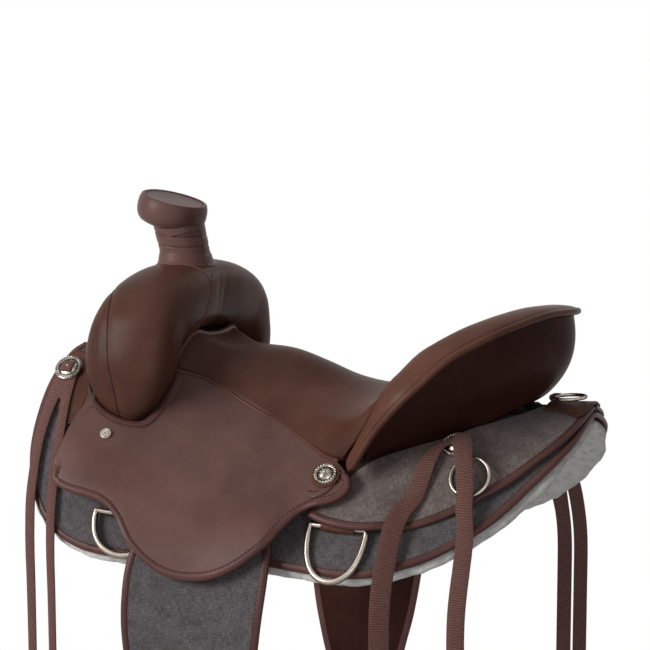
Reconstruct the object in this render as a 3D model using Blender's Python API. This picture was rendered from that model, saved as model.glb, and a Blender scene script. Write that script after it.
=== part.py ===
# Mule saddle: wooden tree, leather and nylon skirts, fenders with stirrups, rings and strings.
# Metres. The animal's head is toward -X, the near (left) side is -Y, up is +Z.
# The origin is where the lining rests on the middle of the back.
import bpy
import bmesh
import math
from mathutils import Vector
from mathutils.bvhtree import BVHTree

# driving dimensions
gap = 0.0003
fleece_thick = 0.012
skirt_thick = 0.005
housing_thick = 0.004
jockey_thick = 0.005
bar_thick = 0.015
bar_edge = 0.003
cover_thick = 0.0035
seat_thick = 0.006
ground_thick = 0.008
fender_thick = 0.0035
strap_thick = 0.0022
jockey_rise = 0.0105
fender_lift = 0.0145
string_width = 0.019
string_thick = 0.0022
horn_cap_radius = 0.0425
horn_neck_radius = 0.027
horn_post_radius = 0.021
wire_dee = 0.003
wire_ring = 0.002
hanger_x = -0.055
hanger_v = 0.125
notch_gap = 0.0012
leather_width = 0.064
stirrup_drop = 0.640
tread_drop = 0.795
bolt_radius = 0.004

# the back the saddle sits on: half section and how it changes along the saddle
middle_height = fleece_thick + 2 * gap + skirt_thick
rear_rise = 0.014
front_rise = 0.112
middle_radius = 0.290
rear_tighten = 0.050
front_open = 0.110
middle_tilt = 12.0
rear_tilt = 2.0
front_tilt = 13.0
tree_lift = middle_height + 0.092
facet = 0.036

leather = (0.115, 0.055, 0.036, 1.0)
dark = (0.030, 0.013, 0.010, 1.0)
cloth = (0.085, 0.066, 0.058, 1.0)
wool = (0.72, 0.69, 0.64, 1.0)
steel = (0.62, 0.62, 0.60, 1.0)
wood = (0.42, 0.27, 0.15, 1.0)
webbing = (0.13, 0.052, 0.032, 1.0)
silver = (0.72, 0.70, 0.66, 1.0)


def material(name, colour, rough, metal=0.0):
    mat = bpy.data.materials.new(name)
    mat.use_nodes = True
    shader = mat.node_tree.nodes["Principled BSDF"]
    shader.inputs["Base Color"].default_value = colour
    shader.inputs["Roughness"].default_value = rough
    shader.inputs["Metallic"].default_value = metal
    mat.diffuse_color = colour
    return mat


def ease(low, high, value):
    t = min(1.0, max(0.0, (value - low) / (high - low)))
    return t * t * (3.0 - 2.0 * t)


def section(x):
    front = ease(-0.020, -0.300, x) if x < -0.020 else 0.0
    rear = (x / 0.335) ** 2 if x > 0 else 0.0
    height = middle_height + rear_rise * rear + front_rise * front
    radius = middle_radius - rear_tighten * rear + front_open * front
    tilt = math.radians(middle_tilt + rear_tilt * rear + front_tilt * front)
    return height, radius, tilt


def exact_back(x, v, lift):
    height, radius, tilt = section(x)
    turn = tilt + v / radius
    y = radius * (math.sin(turn) - math.sin(tilt)) + lift * math.sin(turn)
    z = height - radius * (math.cos(tilt) - math.cos(turn)) + lift * math.cos(turn)
    return Vector((x, y, z))


def back(x, v, lift, side):
    """Point at arc length v from the ridge, raised by lift from the top of the skirt.

    Every layer is laid on the same facets, so that layers with a small clearance never cross."""
    u = abs(v)
    i = math.floor(x / facet)
    j = math.floor(u / facet)
    a = x / facet - i
    b = u / facet - j
    low = exact_back(i * facet, j * facet, lift).lerp(exact_back((i + 1) * facet, j * facet, lift), a)
    high = exact_back(i * facet, (j + 1) * facet, lift).lerp(exact_back((i + 1) * facet, (j + 1) * facet, lift), a)
    here = low.lerp(high, b)
    here.y *= side if v >= 0 else -side
    return here


leave_z = tree_lift - 0.245
leave_span = 0.090


def back_height(x, y, lift):
    low = 0.0
    high = 0.45
    for _ in range(40):
        mid = (low + high) / 2
        if abs(back(x, mid, lift, 1).y) < abs(y):
            low = mid
        else:
            high = mid
    return back(x, (low + high) / 2, lift, 1).z


def arc_at_height(x, z, lift):
    """Arc length where the back, raised by lift, is at height z."""
    low = 0.0
    high = 0.42
    for _ in range(30):
        mid = (low + high) / 2
        if back(x, mid, lift, 1).z > z:
            low = mid
        else:
            high = mid
    return (low + high) / 2


def arc_at_side(x, y, lift):
    low = 0.0
    high = 0.42
    for _ in range(30):
        mid = (low + high) / 2
        if back(x, mid, lift, 1).y < y:
            low = mid
        else:
            high = mid
    return (low + high) / 2


def drape(x, w, lift, side, leave, swing):
    """Follows the back to arc length leave, then bends down and hangs straight."""
    if w <= leave:
        return back(x, w, lift, side)
    here = back(x, leave, 0.0, 1)
    start = math.atan2(back(x, leave - 0.002, 0.0, 1).z - here.z, here.y - back(x, leave - 0.002, 0.0, 1).y)
    y, z = here.y, here.z
    steps = 8
    span = min(w - leave, swing)
    for i in range(steps):
        turn = start + (math.pi / 2 - start) * ease(0, swing, span * (i + 0.5) / steps)
        y += math.cos(turn) * span / steps
        z -= math.sin(turn) * span / steps
    turn = start + (math.pi / 2 - start) * ease(0, swing, span)
    z -= max(0.0, w - leave - swing)
    return Vector((x, side * (y + lift * math.sin(turn)), z + lift * math.cos(turn)))


def hang_y(x, z):
    """Half width of the skirt at height z, and below its edge the line a fender hangs along."""
    top = max(z, leave_z)
    arc = arc_at_height(x, top, 0.0)
    one = back(x, arc, 0.0, 1)
    two = back(x, arc - 0.01, 0.0, 1)
    slope = (one.y - two.y) / max(1e-6, two.z - one.z)
    y = one.y
    if z < leave_z:
        span = min(leave_z - z, leave_span)
        y += slope * (span - span * span / (2 * leave_span))
        even = ease(0.05, 0.30, leave_z - z)
        if x != hanger_x and even > 0:
            y = y * (1 - even) + hang_y(hanger_x, z)[0] * even
        slope *= 1 - span / leave_span
    return y, math.sqrt(1 + slope * slope)


hang_known = {}


def hang(x, z, off, side):
    """Fender surface: follows the skirt, then leaves it and hangs straight; same facets for every layer."""
    i = math.floor(x / facet)
    j = math.floor(z / facet)
    a = x / facet - i
    b = z / facet - j
    y = 0.0
    for di, dj, share in ((0, 0, (1 - a) * (1 - b)), (1, 0, a * (1 - b)), (0, 1, (1 - a) * b), (1, 1, a * b)):
        key = (i + di, j + dj)
        if key not in hang_known:
            hang_known[key] = hang_y(key[0] * facet, key[1] * facet)
        here, stretch = hang_known[key]
        y += share * (here + off * stretch)
    return Vector((x, side * y, z))


def ticks(low, high):
    """Facet lines strictly between two values."""
    return [i * facet for i in range(math.floor(low / facet) + 1, math.ceil(high / facet))
            if low + 0.001 < i * facet < high - 0.001]


def bar_top(x, v):
    along = 1.0 - ease(0.200, 0.265, abs(x))
    across = 1.0 - ease(0.100, 0.165, abs(v)) if x > -0.10 else 1.0 - ease(0.165, 0.205, abs(v))
    return bar_edge + bar_thick * along * across


def housing_low(x, v):
    over = bar_edge * (1.0 - ease(0.150, 0.190, abs(v)))
    bulge = 0.0125 * (1.0 - ease(0.042, 0.080, abs(x - 0.099))) * ease(0.146, 0.178, abs(v))
    rise = bar_thick * (1.0 - ease(0.215, 0.285, abs(x))) * (1.0 - ease(0.105, 0.175, abs(v)))
    return 2 * gap + over + rise + bulge


def jockey_low(x, v):
    over = (housing_thick + 2 * gap) * ease(0.052, 0.078, x) * ease(0.118, 0.140, v)
    over_fender = 1.0 - ease(0.020, 0.050, x)
    rise = jockey_rise * (2 + over_fender) / 3 * ease(0.175 - 0.025 * over_fender, 0.245 - 0.020 * over_fender, v)
    return bar_edge + bar_thick + 2 * gap + over + rise


def smooth(points, fine=3):
    """Closed curve through points; a point with a third value is a corner."""
    out = []
    n = len(points)
    for i in range(n):
        p0, p1, p2, p3 = (points[(i + k) % n] for k in (-1, 0, 1, 2))
        if len(p1) == 3 or len(p0) < 2:
            p0 = (2 * p1[0] - p2[0], 2 * p1[1] - p2[1])
        if len(p2) == 3:
            p3 = (2 * p2[0] - p1[0], 2 * p2[1] - p1[1])
        for j in range(fine):
            t = j / fine
            a, b, c, d = -t ** 3 + 2 * t * t - t, 3 * t ** 3 - 5 * t * t + 2, -3 * t ** 3 + 4 * t * t + t, t ** 3 - t * t
            out.append((0.5 * (a * p0[0] + b * p1[0] + c * p2[0] + d * p3[0]),
                        0.5 * (a * p0[1] + b * p1[1] + c * p2[1] + d * p3[1])))
            if len(p1) == 3 and len(p2) == 3:
                break
    return out


def curve(points, t):
    """Smooth open curve through (t, a, b, ...) rows at t."""
    rows = sorted(points)
    if t <= rows[0][0]:
        return rows[0][1:]
    if t >= rows[-1][0]:
        return rows[-1][1:]
    for i in range(len(rows) - 1):
        if rows[i][0] <= t <= rows[i + 1][0]:
            break
    r1, r2 = rows[i], rows[i + 1]
    r0 = rows[i - 1] if i else r1
    r3 = rows[i + 2] if i + 2 < len(rows) else r2
    h = r2[0] - r1[0]
    s = (t - r1[0]) / h
    out = []
    for k in range(1, len(r1)):
        m1 = (r2[k] - r0[k]) / max(1e-9, r2[0] - r0[0]) * h
        m2 = (r3[k] - r1[k]) / max(1e-9, r3[0] - r1[0]) * h
        out.append((2 * s ** 3 - 3 * s * s + 1) * r1[k] + (s ** 3 - 2 * s * s + s) * m1
                   + (-2 * s ** 3 + 3 * s * s) * r2[k] + (s ** 3 - s * s) * m2)
    return tuple(out)


def finish(name, bm, mat, origin=None):
    bmesh.ops.remove_doubles(bm, verts=bm.verts, dist=0.00002)
    bmesh.ops.recalc_face_normals(bm, faces=bm.faces)
    if bm.calc_volume(signed=True) < 0:
        bmesh.ops.reverse_faces(bm, faces=bm.faces)
    origin = Vector(origin) if origin is not None else Vector((0, 0, 0))
    for vert in bm.verts:
        vert.co -= origin
    mesh = bpy.data.meshes.new(name)
    bm.to_mesh(mesh)
    bm.free()
    obj = bpy.data.objects.new(name, mesh)
    obj.location = origin
    bpy.context.collection.objects.link(obj)
    mesh.materials.append(mat)
    for poly in mesh.polygons:
        poly.use_smooth = True
    mesh.set_sharp_from_angle(angle=math.radians(35))
    return obj


def flat_sheet(outline, step, rim, extra=()):
    bm = bmesh.new()
    face = bm.faces.new([bm.verts.new((p[0], p[1], 0)) for p in outline])
    if rim:
        bmesh.ops.inset_individual(bm, faces=[face], thickness=rim, use_even_offset=True)
    for k in (0, 1):
        if not step[k]:
            continue
        low = min(p[k] for p in outline)
        high = max(p[k] for p in outline)
        lines = [i * step[k] for i in range(math.floor(low / step[k]) + 1, math.ceil(high / step[k]))]
        for at in lines + (list(extra) if k else []):
            co = (at, 0, 0) if k == 0 else (0, at, 0)
            no = (1, 0, 0) if k == 0 else (0, 1, 0)
            geom = bm.verts[:] + bm.edges[:] + bm.faces[:]
            bmesh.ops.bisect_plane(bm, geom=geom, dist=0.0003, plane_co=co, plane_no=no)
    return bm


def sheet_body(name, outline, low, high, mapper, mat, step=(facet, facet), rim=0, soft=0.0, origin=None, extra=()):
    """A sheet of leather or cloth cut to an outline and laid on a curved surface."""
    flat = flat_sheet(outline, step, rim, extra)
    flat.verts.ensure_lookup_table()
    flat.verts.index_update()
    bm = bmesh.new()
    top = []
    bottom = []
    for vert in flat.verts:
        a, b = vert.co.x, vert.co.y
        edge = soft if vert.is_boundary else 0.0
        lo = low(a, b) if callable(low) else low
        hi = high(a, b) if callable(high) else high
        top.append(bm.verts.new(mapper(a, b, hi - edge)))
        bottom.append(bm.verts.new(mapper(a, b, lo + edge)))
    for face in flat.faces:
        ids = [vert.index for vert in face.verts]
        bm.faces.new([top[i] for i in ids])
        bm.faces.new([bottom[i] for i in reversed(ids)])
    for edge in flat.edges:
        if edge.is_boundary:
            i, j = (vert.index for vert in edge.verts)
            bm.faces.new([top[i], top[j], bottom[j], bottom[i]])
    flat.free()
    return finish(name, bm, mat, origin)


def loft_body(name, rings, mat, closed=False, origin=None, caps=True):
    bm = bmesh.new()
    rows = [[bm.verts.new(p) for p in ring] for ring in rings]
    n = len(rows[0])
    spans = len(rows) if closed else len(rows) - 1
    for i in range(spans):
        one, two = rows[i], rows[(i + 1) % len(rows)]
        for j in range(n):
            bm.faces.new([one[j], one[(j + 1) % n], two[(j + 1) % n], two[j]])
    if not closed and caps:
        for row in (rows[0], rows[-1]):
            centre = bm.verts.new(sum((vert.co for vert in row), Vector()) / n)
            for j in range(n):
                bm.faces.new([row[j], row[(j + 1) % n], centre])
    return finish(name, bm, mat, origin)


def circle_ring(centre, along, radius, count, up=Vector((0, 0, 1))):
    along = along.normalized()
    side_a = along.cross(up)
    if side_a.length < 1e-4:
        side_a = along.cross(Vector((1, 0, 0)))
    side_a.normalize()
    side_b = along.cross(side_a)
    return [centre + radius * (math.cos(2 * math.pi * k / count) * side_a + math.sin(2 * math.pi * k / count) * side_b)
            for k in range(count)]


def wire_body(name, path, radius, mat, closed=True, count=8, up=Vector((0, 0, 1)), origin=None):
    rings = []
    n = len(path)
    for i in range(n):
        if closed:
            along = path[(i + 1) % n] - path[i - 1]
        else:
            along = path[min(i + 1, n - 1)] - path[max(i - 1, 0)]
        rings.append(circle_ring(path[i], along, radius, count, up))
    return loft_body(name, rings, mat, closed=closed, origin=origin)


def band_body(name, path, thick, span, mapper, mat, origin=None, inner=()):
    """A strap seen edge on: a path of (a, b) points with thickness, spread over span in x."""
    left = []
    right = []
    n = len(path)
    for i in range(n):
        a = path[max(i - 1, 0)]
        b = path[min(i + 1, n - 1)]
        d = Vector((b[0] - a[0], b[1] - a[1])).normalized()
        normal = Vector((-d.y, d.x)) * thick / 2
        here = Vector(path[i])
        left.append(here + normal)
        right.append(here - normal)
    bm = bmesh.new()
    sides = []
    for x in [span[0]] + list(inner) + [span[1]]:
        sides.append(([bm.verts.new(mapper(x, p.x, p.y)) for p in left],
                      [bm.verts.new(mapper(x, p.x, p.y)) for p in right]))
    for (la, ra), (lb, rb) in zip(sides, sides[1:]):
        for i in range(n - 1):
            bm.faces.new([la[i], la[i + 1], lb[i + 1], lb[i]])
            bm.faces.new([ra[i], rb[i], rb[i + 1], ra[i + 1]])
        bm.faces.new([la[0], lb[0], rb[0], ra[0]])
        bm.faces.new([la[-1], ra[-1], rb[-1], lb[-1]])
    for la, ra in (sides[0], sides[-1]):
        for i in range(n - 1):
            bm.faces.new([la[i], ra[i], ra[i + 1], la[i + 1]])
    return finish(name, bm, mat, origin)


def spin_body(name, profile, mat, place, count=24, origin=None):
    """A turned piece: profile of (radius, height) from axis to axis, placed by place(vector)."""
    bm = bmesh.new()
    rows = []
    for r, h in profile:
        if r < 1e-6:
            rows.append([bm.verts.new(place(Vector((0, 0, h))))])
        else:
            rows.append([bm.verts.new(place(Vector((r * math.cos(2 * math.pi * k / count),
                                                    r * math.sin(2 * math.pi * k / count), h))))
                         for k in range(count)])
    for one, two in zip(rows, rows[1:]):
        for k in range(count):
            j = (k + 1) % count
            loop = [one[k % len(one)], one[j % len(one)], two[j % len(two)], two[k % len(two)]]
            corners = []
            for vert in loop:
                if vert not in corners:
                    corners.append(vert)
            bm.faces.new(corners)
    return finish(name, bm, mat, origin)


def cut(obj, cutter):
    mod = obj.modifiers.new("cut", "BOOLEAN")
    mod.operation = "DIFFERENCE"
    mod.solver = "EXACT"
    mod.object = cutter
    bpy.context.view_layer.update()
    done = bpy.data.meshes.new_from_object(obj.evaluated_get(bpy.context.evaluated_depsgraph_get()))
    obj.modifiers.clear()
    old = obj.data
    obj.data = done
    bpy.data.meshes.remove(old)
    used = cutter.data
    bpy.data.objects.remove(cutter)
    bpy.data.meshes.remove(used)


def surface_frame(x, v, lift, side):
    """Origin, along x, down the slope, and outward at a point of the back."""
    here = back(x, v, lift, side)
    down = (back(x, v + 0.001, lift, side) - back(x, v - 0.001, lift, side)).normalized()
    out = (back(x, v, lift + 0.001, side) - here).normalized()
    along = (back(x + 0.02, v, lift, side) - back(x - 0.02, v, lift, side)).normalized()
    out = along.cross(down) if along.cross(down).dot(out) > 0 else down.cross(along)
    return here, along, down, out.normalized()


for obj in list(bpy.data.objects):
    bpy.data.objects.remove(obj)

mats = {}
for key, args in {
    "leather": (leather, 0.48), "dark": (dark, 0.5), "cloth": (cloth, 0.9), "wool": (wool, 0.95),
    "steel": (steel, 0.25, 1.0), "wood": (wood, 0.6), "webbing": (webbing, 0.75), "silver": (silver, 0.3, 1.0),
}.items():
    mats[key] = args


def mat_for(name, key):
    return material(name, *mats[key])


# tree: bars
bar_outline = smooth([(-0.230, 0.112), (-0.234, 0.150), (-0.222, 0.184), (-0.170, 0.186), (-0.100, 0.152),
                      (0.000, 0.128), (0.100, 0.142), (0.190, 0.148), (0.240, 0.125), (0.262, 0.090),
                      (0.250, 0.055), (0.180, 0.034), (0.000, 0.028), (-0.100, 0.044), (-0.170, 0.084)], 2)
sides = (("near", -1), ("off", 1))
for word, side in sides:
    sheet_body("tree_bar_" + word, bar_outline, 2 * gap, bar_top,
               lambda x, v, lift, s=side: back(x, v, lift, s), mat_for("bar_" + word, "wood"),
               rim=0.006, soft=0.001)

# tree: fork (the swell) as an arch swept from bar to bar
fork_rows = [  # t, centre x, y, z (tree frame), radial half, half along x
    (0.00, -0.197, 0.126, -0.066, 0.026, 0.035), (0.14, -0.195, 0.122, -0.050, 0.034, 0.047),
    (0.32, -0.191, 0.113, -0.025, 0.043, 0.056), (0.52, -0.187, 0.092, -0.002, 0.048, 0.060),
    (0.76, -0.184, 0.050, 0.013, 0.048, 0.060), (1.00, -0.183, 0.000, 0.018, 0.047, 0.057)]
fork_foot = bar_edge + bar_thick


def fork_rings(grow, foot, hollow=0.0):
    rings = []
    steps = 7
    for i in range(-steps, steps + 1):
        t = 1.0 - abs(i) / steps
        sign = -1 if i < 0 else 1
        cx, cy, cz, radial, half = curve(fork_rows, t)
        before = curve(fork_rows, max(0.0, t - 0.02))
        after = curve(fork_rows, min(1.0, t + 0.02))
        path = Vector((0, after[1] - before[1], after[2] - before[2]))
        if t > 0.98:
            path = Vector((0, -1, 0))
        path.normalize()
        outward = Vector((0, -path.z, path.y)) * -1
        if outward.z < 0 and t > 0.3 or outward.y < 0:
            outward = -outward
        if t > 0.98:
            outward = Vector((0, 0, 1))
        ring = []
        count = 14
        for k in range(count):
            ang = 2 * math.pi * k / count
            ca, sa = math.cos(ang), math.sin(ang)
            slim = 1.0 - 0.40 * ease(0.15, 0.55, t) * (1 - sa) / 2
            px = abs(ca) ** 0.82 * (1 if ca >= 0 else -1) * (half + grow) * slim
            inner = 1.0 - 0.38 * ease(0.0, 0.32, t) if sa < 0 else 1.0
            pr = abs(sa) ** 0.82 * (1 if sa >= 0 else -1) * (radial * inner + grow - (hollow if sa < 0 else 0.0))
            point = Vector((cx + px, 0, tree_lift)) + Vector((0, cy, cz)) + outward * pr
            sink = 1.0 - ease(0.0, 0.42, t)
            if sink > 0:
                middle_z = back_height(cx, cy, foot)
                rest = back_height(point.x, point.y, foot) - middle_z
                centre_z = cz + tree_lift if t > 0 else middle_z
                point.z = point.z * (1 - sink) + (centre_z + rest) * sink
            point.y *= sign
            ring.append(point)
        rings.append(ring)
    return rings


loft_body("tree_fork", fork_rings(-0.0012, fork_foot + 5 * gap, 0.0050), mat_for("fork_wood", "wood"))


def shell_between(name, outer, inner, mat):
    bm = bmesh.new()
    n = len(outer[0])
    rows = [[[bm.verts.new(p) for p in ring] for ring in rings] for rings in (outer, inner)]
    for shell in rows:
        for one, two in zip(shell, shell[1:]):
            for j in range(n):
                bm.faces.new([one[j], one[(j + 1) % n], two[(j + 1) % n], two[j]])
    for end in (0, -1):
        one, two = rows[0][end], rows[1][end]
        for j in range(n):
            bm.faces.new([one[j], one[(j + 1) % n], two[(j + 1) % n], two[j]])
    return finish(name, bm, mat)


cover = shell_between("fork_cover", fork_rings(gap + cover_thick, fork_foot + 4 * gap),
                      fork_rings(gap, fork_foot + 4 * gap), mat_for("cover_leather", "leather"))

# horn: metal post, wrapped neck, tilted leather cap
fork_top = tree_lift + 0.018 + 0.048
horn_x = -0.185
cap_tilt = math.radians(14)
cap_centre = Vector((-0.204, 0, tree_lift + 0.127))
cap_normal = Vector((math.sin(cap_tilt), 0, math.cos(cap_tilt)))
cap_low = 0.017


def cap_place(p):
    across = Vector((math.cos(cap_tilt), 0, -math.sin(cap_tilt)))
    return cap_centre + across * p.x + Vector((0, 1, 0)) * p.y + cap_normal * p.z


def tilted_ring(x, z, radius, tilt, count=16):
    ring = []
    for k in range(count):
        ang = 2 * math.pi * k / count
        ring.append(Vector((x + radius * math.cos(ang) * math.cos(tilt), radius * math.sin(ang),
                            z - radius * math.cos(ang) * math.sin(tilt))))
    return ring


cover_tree = BVHTree.FromPolygons([vert.co for vert in cover.data.vertices],
                                  [tuple(poly.vertices) for poly in cover.data.polygons])
post_top = cap_centre - cap_normal * (cap_low + gap)
cut(cover, spin_body("hole", [(0, 0.02), (horn_post_radius + gap, 0.02), (horn_post_radius + gap, -0.012),
                              (0, -0.012)], mat_for("hole", "wood"),
                     lambda p: p + Vector((horn_x, 0, fork_top))))
wrap_base = fork_top + cover_thick + 4 * gap
wrap_rows = [(0.0, 0.0060), (0.14, 0.0018), (0.33, 0.0005), (0.37, -0.0008), (0.41, 0.0005), (0.63, 0.0005),
             (0.67, -0.0008), (0.71, 0.0005), (1.0, 0.001)]


def neck_ring(t, radius):
    x = horn_x * (1 - t) + (post_top.x + 0.006) * t
    z = (wrap_base + 0.001) * (1 - t) + (post_top.z - 0.0022) * t
    ring = tilted_ring(x, z, radius, cap_tilt * t, 16)
    if t == 0:
        for point in ring:
            point.z = cover_tree.ray_cast(Vector((point.x, point.y, fork_top + 0.05)), Vector((0, 0, -1)))[0].z + 0.0018
    return ring


def wrap_rings(inner):
    return [neck_ring(t, horn_post_radius + 2 * gap if inner else horn_neck_radius + bulge)
            for t, bulge in wrap_rows]


loft_body("horn_post", [tilted_ring(horn_x, fork_top + 0.0008, horn_post_radius, 0.0)]
          + [neck_ring(t, horn_post_radius) for t, bulge in wrap_rows], mat_for("post_steel", "steel"))
shell_between("horn_wrap", wrap_rings(False), wrap_rings(True), mat_for("wrap_leather", "leather"))
cap_profile = [(0, 0.0155), (0.018, 0.0153), (0.032, 0.0135), (0.0395, 0.0085), (horn_cap_radius, 0.0),
               (0.0415, -0.0080), (0.0375, -0.0140), (0.030, -cap_low), (0, -cap_low)]
spin_body("horn_cap", cap_profile, mat_for("cap_leather", "leather"), cap_place, 28)

# seat: rows from the fork to the crest of the cantle
seam_rows = [(0.00, -0.157, 0.078), (0.12, -0.118, 0.064), (0.30, -0.066, 0.069), (0.48, -0.017, 0.085),
             (0.66, 0.030, 0.112), (0.82, 0.068, 0.133), (1.00, 0.096, 0.141)]
middle_rows = [(0.00, -0.143, -0.018), (0.12, -0.098, -0.027), (0.26, -0.045, -0.030), (0.38, 0.000, -0.043),
               (0.48, 0.040, -0.058), (0.58, 0.080, -0.065), (0.66, 0.115, -0.063), (0.76, 0.158, -0.047),
               (0.86, 0.200, -0.015), (0.94, 0.231, 0.010), (1.00, 0.254, 0.028)]
crest_rows = [(-0.17, 0.251, -0.045, 0.030), (0.0, 0.260, 0.0, 0.031), (0.17, 0.251, 0.045, 0.030),
              (0.34, 0.231, 0.088, 0.026), (0.48, 0.208, 0.119, 0.014), (0.58, 0.184, 0.140, -0.003),
              (0.66, 0.166, 0.151, -0.020), (0.74, 0.149, 0.159, -0.040), (0.86, 0.124, 0.155, -0.082),
              (1.0, 0.098, 0.146, -0.124)]
seat_top_lift = bar_edge + bar_thick + 2 * gap + seat_thick


def seat_rim(t):
    x, y, z = curve(crest_rows, abs(t))
    inward = Vector((-1.0, -0.9 * y / 0.16, 0)).normalized() * (0.0035 + 0.0065 * ease(0.15, 0.65, abs(t)))
    return Vector((x, y, z + tree_lift - 0.002)) + inward


def seat_point(u, t):
    sx, sv = curve(seam_rows, u)
    edge = back(sx, sv, seat_top_lift, 1)
    mx, mz = curve(middle_rows, u)
    mid = Vector((mx, 0, mz + tree_lift))
    last = ease(0.80, 1.0, u)
    edge = edge.lerp(seat_rim(1.0), last)
    mid = mid.lerp(seat_rim(0.0), last)
    a = abs(t)
    rim, first, end = seat_rim(a), seat_rim(0.0), seat_rim(1.0)
    blend = ease(0.25, 1.0, u) ** 1.5
    fy = a * (1 - blend) + rim.y / end.y * blend
    fx = a * a * (1 - blend) + (first.x - rim.x) / (first.x - end.x) * blend
    fz = a ** 2.1 * (1 - blend) + (first.z - rim.z) / (first.z - end.z) * blend
    y = edge.y * fy
    return Vector((mid.x + (edge.x - mid.x) * fx, y if t >= 0 else -y, mid.z + (edge.z - mid.z) * fz))


def seat_body(name, mat, us, ts, top, bottom):
    bm = bmesh.new()
    grids = []
    for depth in (top, bottom):
        rows = []
        for u in us:
            row = []
            for t in ts:
                here = seat_point(u, t)
                du = seat_point(min(1, u + 0.01), t) - seat_point(max(0, u - 0.01), t)
                dt = seat_point(u, min(1, t + 0.01)) - seat_point(u, max(-1, t - 0.01))
                normal = du.cross(dt).normalized()
                if normal.z < 0:
                    normal = -normal
                row.append(bm.verts.new(here - normal * depth))
            rows.append(row)
        grids.append(rows)
    upper, lower = grids
    nu, nt = len(us), len(ts)
    for i in range(nu - 1):
        for j in range(nt - 1):
            bm.faces.new([upper[i][j], upper[i + 1][j], upper[i + 1][j + 1], upper[i][j + 1]])
            bm.faces.new([lower[i][j], lower[i][j + 1], lower[i + 1][j + 1], lower[i + 1][j]])
    for i in range(nu - 1):
        for j in (0, nt - 1):
            bm.faces.new([upper[i][j], upper[i + 1][j], lower[i + 1][j], lower[i][j]])
    for j in range(nt - 1):
        for i in (0, nu - 1):
            bm.faces.new([upper[i][j], upper[i][j + 1], lower[i][j + 1], lower[i][j]])
    return finish(name, bm, mat)


seat_us = [i / 13 for i in range(14)]
seat_ts = [(-1 + 2 * j / 14) for j in range(15)]
seat_body("seat_cover", mat_for("seat_leather", "leather"), seat_us, seat_ts, 0.0, seat_thick)
seat_body("ground_seat", mat_for("ground_leather", "dark"), seat_us[1:8], seat_ts[4:11], seat_thick + gap * 2, seat_thick + gap * 2 + ground_thick)

# cantle: wooden core, roll along the crest and back panel
roll_rows = [(-0.17, 0.293, -0.052, 0.022), (0.0, 0.309, 0.0, 0.027), (0.17, 0.293, 0.052, 0.022), (0.34, 0.265, 0.100, 0.012),
             (0.48, 0.238, 0.132, 0.005), (0.58, 0.213, 0.154, -0.010), (0.66, 0.190, 0.168, -0.030),
             (0.74, 0.168, 0.175, -0.052), (0.86, 0.134, 0.169, -0.090), (1.0, 0.102, 0.154, -0.130)]
base_rows = [(-0.17, 0.257, -0.032), (0.0, 0.270, 0.0), (0.17, 0.257, 0.032), (0.34, 0.232, 0.063), (0.48, 0.202, 0.084),
             (0.58, 0.178, 0.097), (0.66, 0.158, 0.106), (0.74, 0.140, 0.112), (0.86, 0.116, 0.124),
             (1.0, 0.098, 0.134)]


def lifted(row):
    return Vector((row[0], row[1], row[2] + tree_lift))


def cantle_sets(steps, reach=1.0):
    for i in range(-steps, steps + 1):
        t = abs(i) / steps * reach
        sign = -1 if i < 0 else 1
        crest = lifted(curve(crest_rows, t))
        roll = lifted(curve(roll_rows, t))
        bx, by = curve(base_rows, t)
        foot = Vector((bx, by, back_height(bx, by, bar_edge + bar_thick + 3 * gap)))
        along = lifted(curve(crest_rows, min(1.0, t + 0.03))) - lifted(curve(crest_rows, max(-0.03, t - 0.03)))
        normal = (roll - crest).cross(along).normalized()
        yield t, sign, crest, roll, foot, normal


def flip(points, sign):
    return [Vector((p.x, p.y * sign, p.z)) for p in points]


roll_half = 0.0070
roll_rings = []
core_rings = []
panel_rings = []
for t, sign, crest, roll, foot, normal in cantle_sets(12):
    across = (roll - crest)
    wide = across.length
    across.normalize()
    centre = (crest + roll) / 2
    half_wide = wide / 2 + 0.002
    half_tall = roll_half * (1.0 - 0.35 * t)
    ring = []
    for k in range(12):
        ang = 2 * math.pi * k / 12
        ring.append(centre + across * half_wide * math.cos(ang)
                    + normal * half_tall * (math.sin(ang) * (0.8 if math.sin(ang) > 0 else 1.0)))
    roll_rings.append(flip(ring, sign))
for t, sign, crest, roll, foot, normal in cantle_sets(10, 0.93):
    across = (roll - crest).normalized()
    inner = Vector((-1.0, -0.75 * crest.y / 0.16, 0)).normalized()
    skin = 0.0032 + cover_thick
    face_top = roll - across * 0.004 - normal * (roll_half + 0.0010)
    face_low = foot - inner * 0.001
    faces = []
    for part, puff in ((0.0, 0.0), (0.22, 0.008), (0.48, 0.012), (0.76, 0.007), (1.0, 0.0)):
        here = face_top.lerp(face_low, part)
        here -= inner * puff * min(1.0, (face_top - face_low).length / 0.07)
        here.z += 0.0006
        faces.append(here)
    outer = list(faces)
    inside = [p + inner * cover_thick for p in faces]
    core = [p + inner * skin for p in faces]
    core[-1].z = back_height(core[-1].x, core[-1].y, bar_edge + bar_thick + 7 * gap)
    panel_rings.append(flip(outer + inside[::-1], sign))
    top_in = crest + across * 0.003 - normal * (roll_half + 0.0030)
    low_in = foot + inner * 0.018
    low_in.z = back_height(low_in.x, low_in.y, bar_edge + bar_thick + 7 * gap)
    low_mid = (core[-1] + low_in) / 2
    low_mid.z = back_height(low_mid.x, low_mid.y, bar_edge + bar_thick + 7 * gap)
    core_rings.append(flip(core + [low_mid, low_in, (top_in + low_in) / 2 - inner * 0.006, top_in], sign))
loft_body("cantle_roll", roll_rings, mat_for("roll_leather", "leather"))
loft_body("tree_cantle", core_rings, mat_for("cantle_wood", "wood"))
loft_body("cantle_back", panel_rings, mat_for("back_leather", "dark"))

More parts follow.
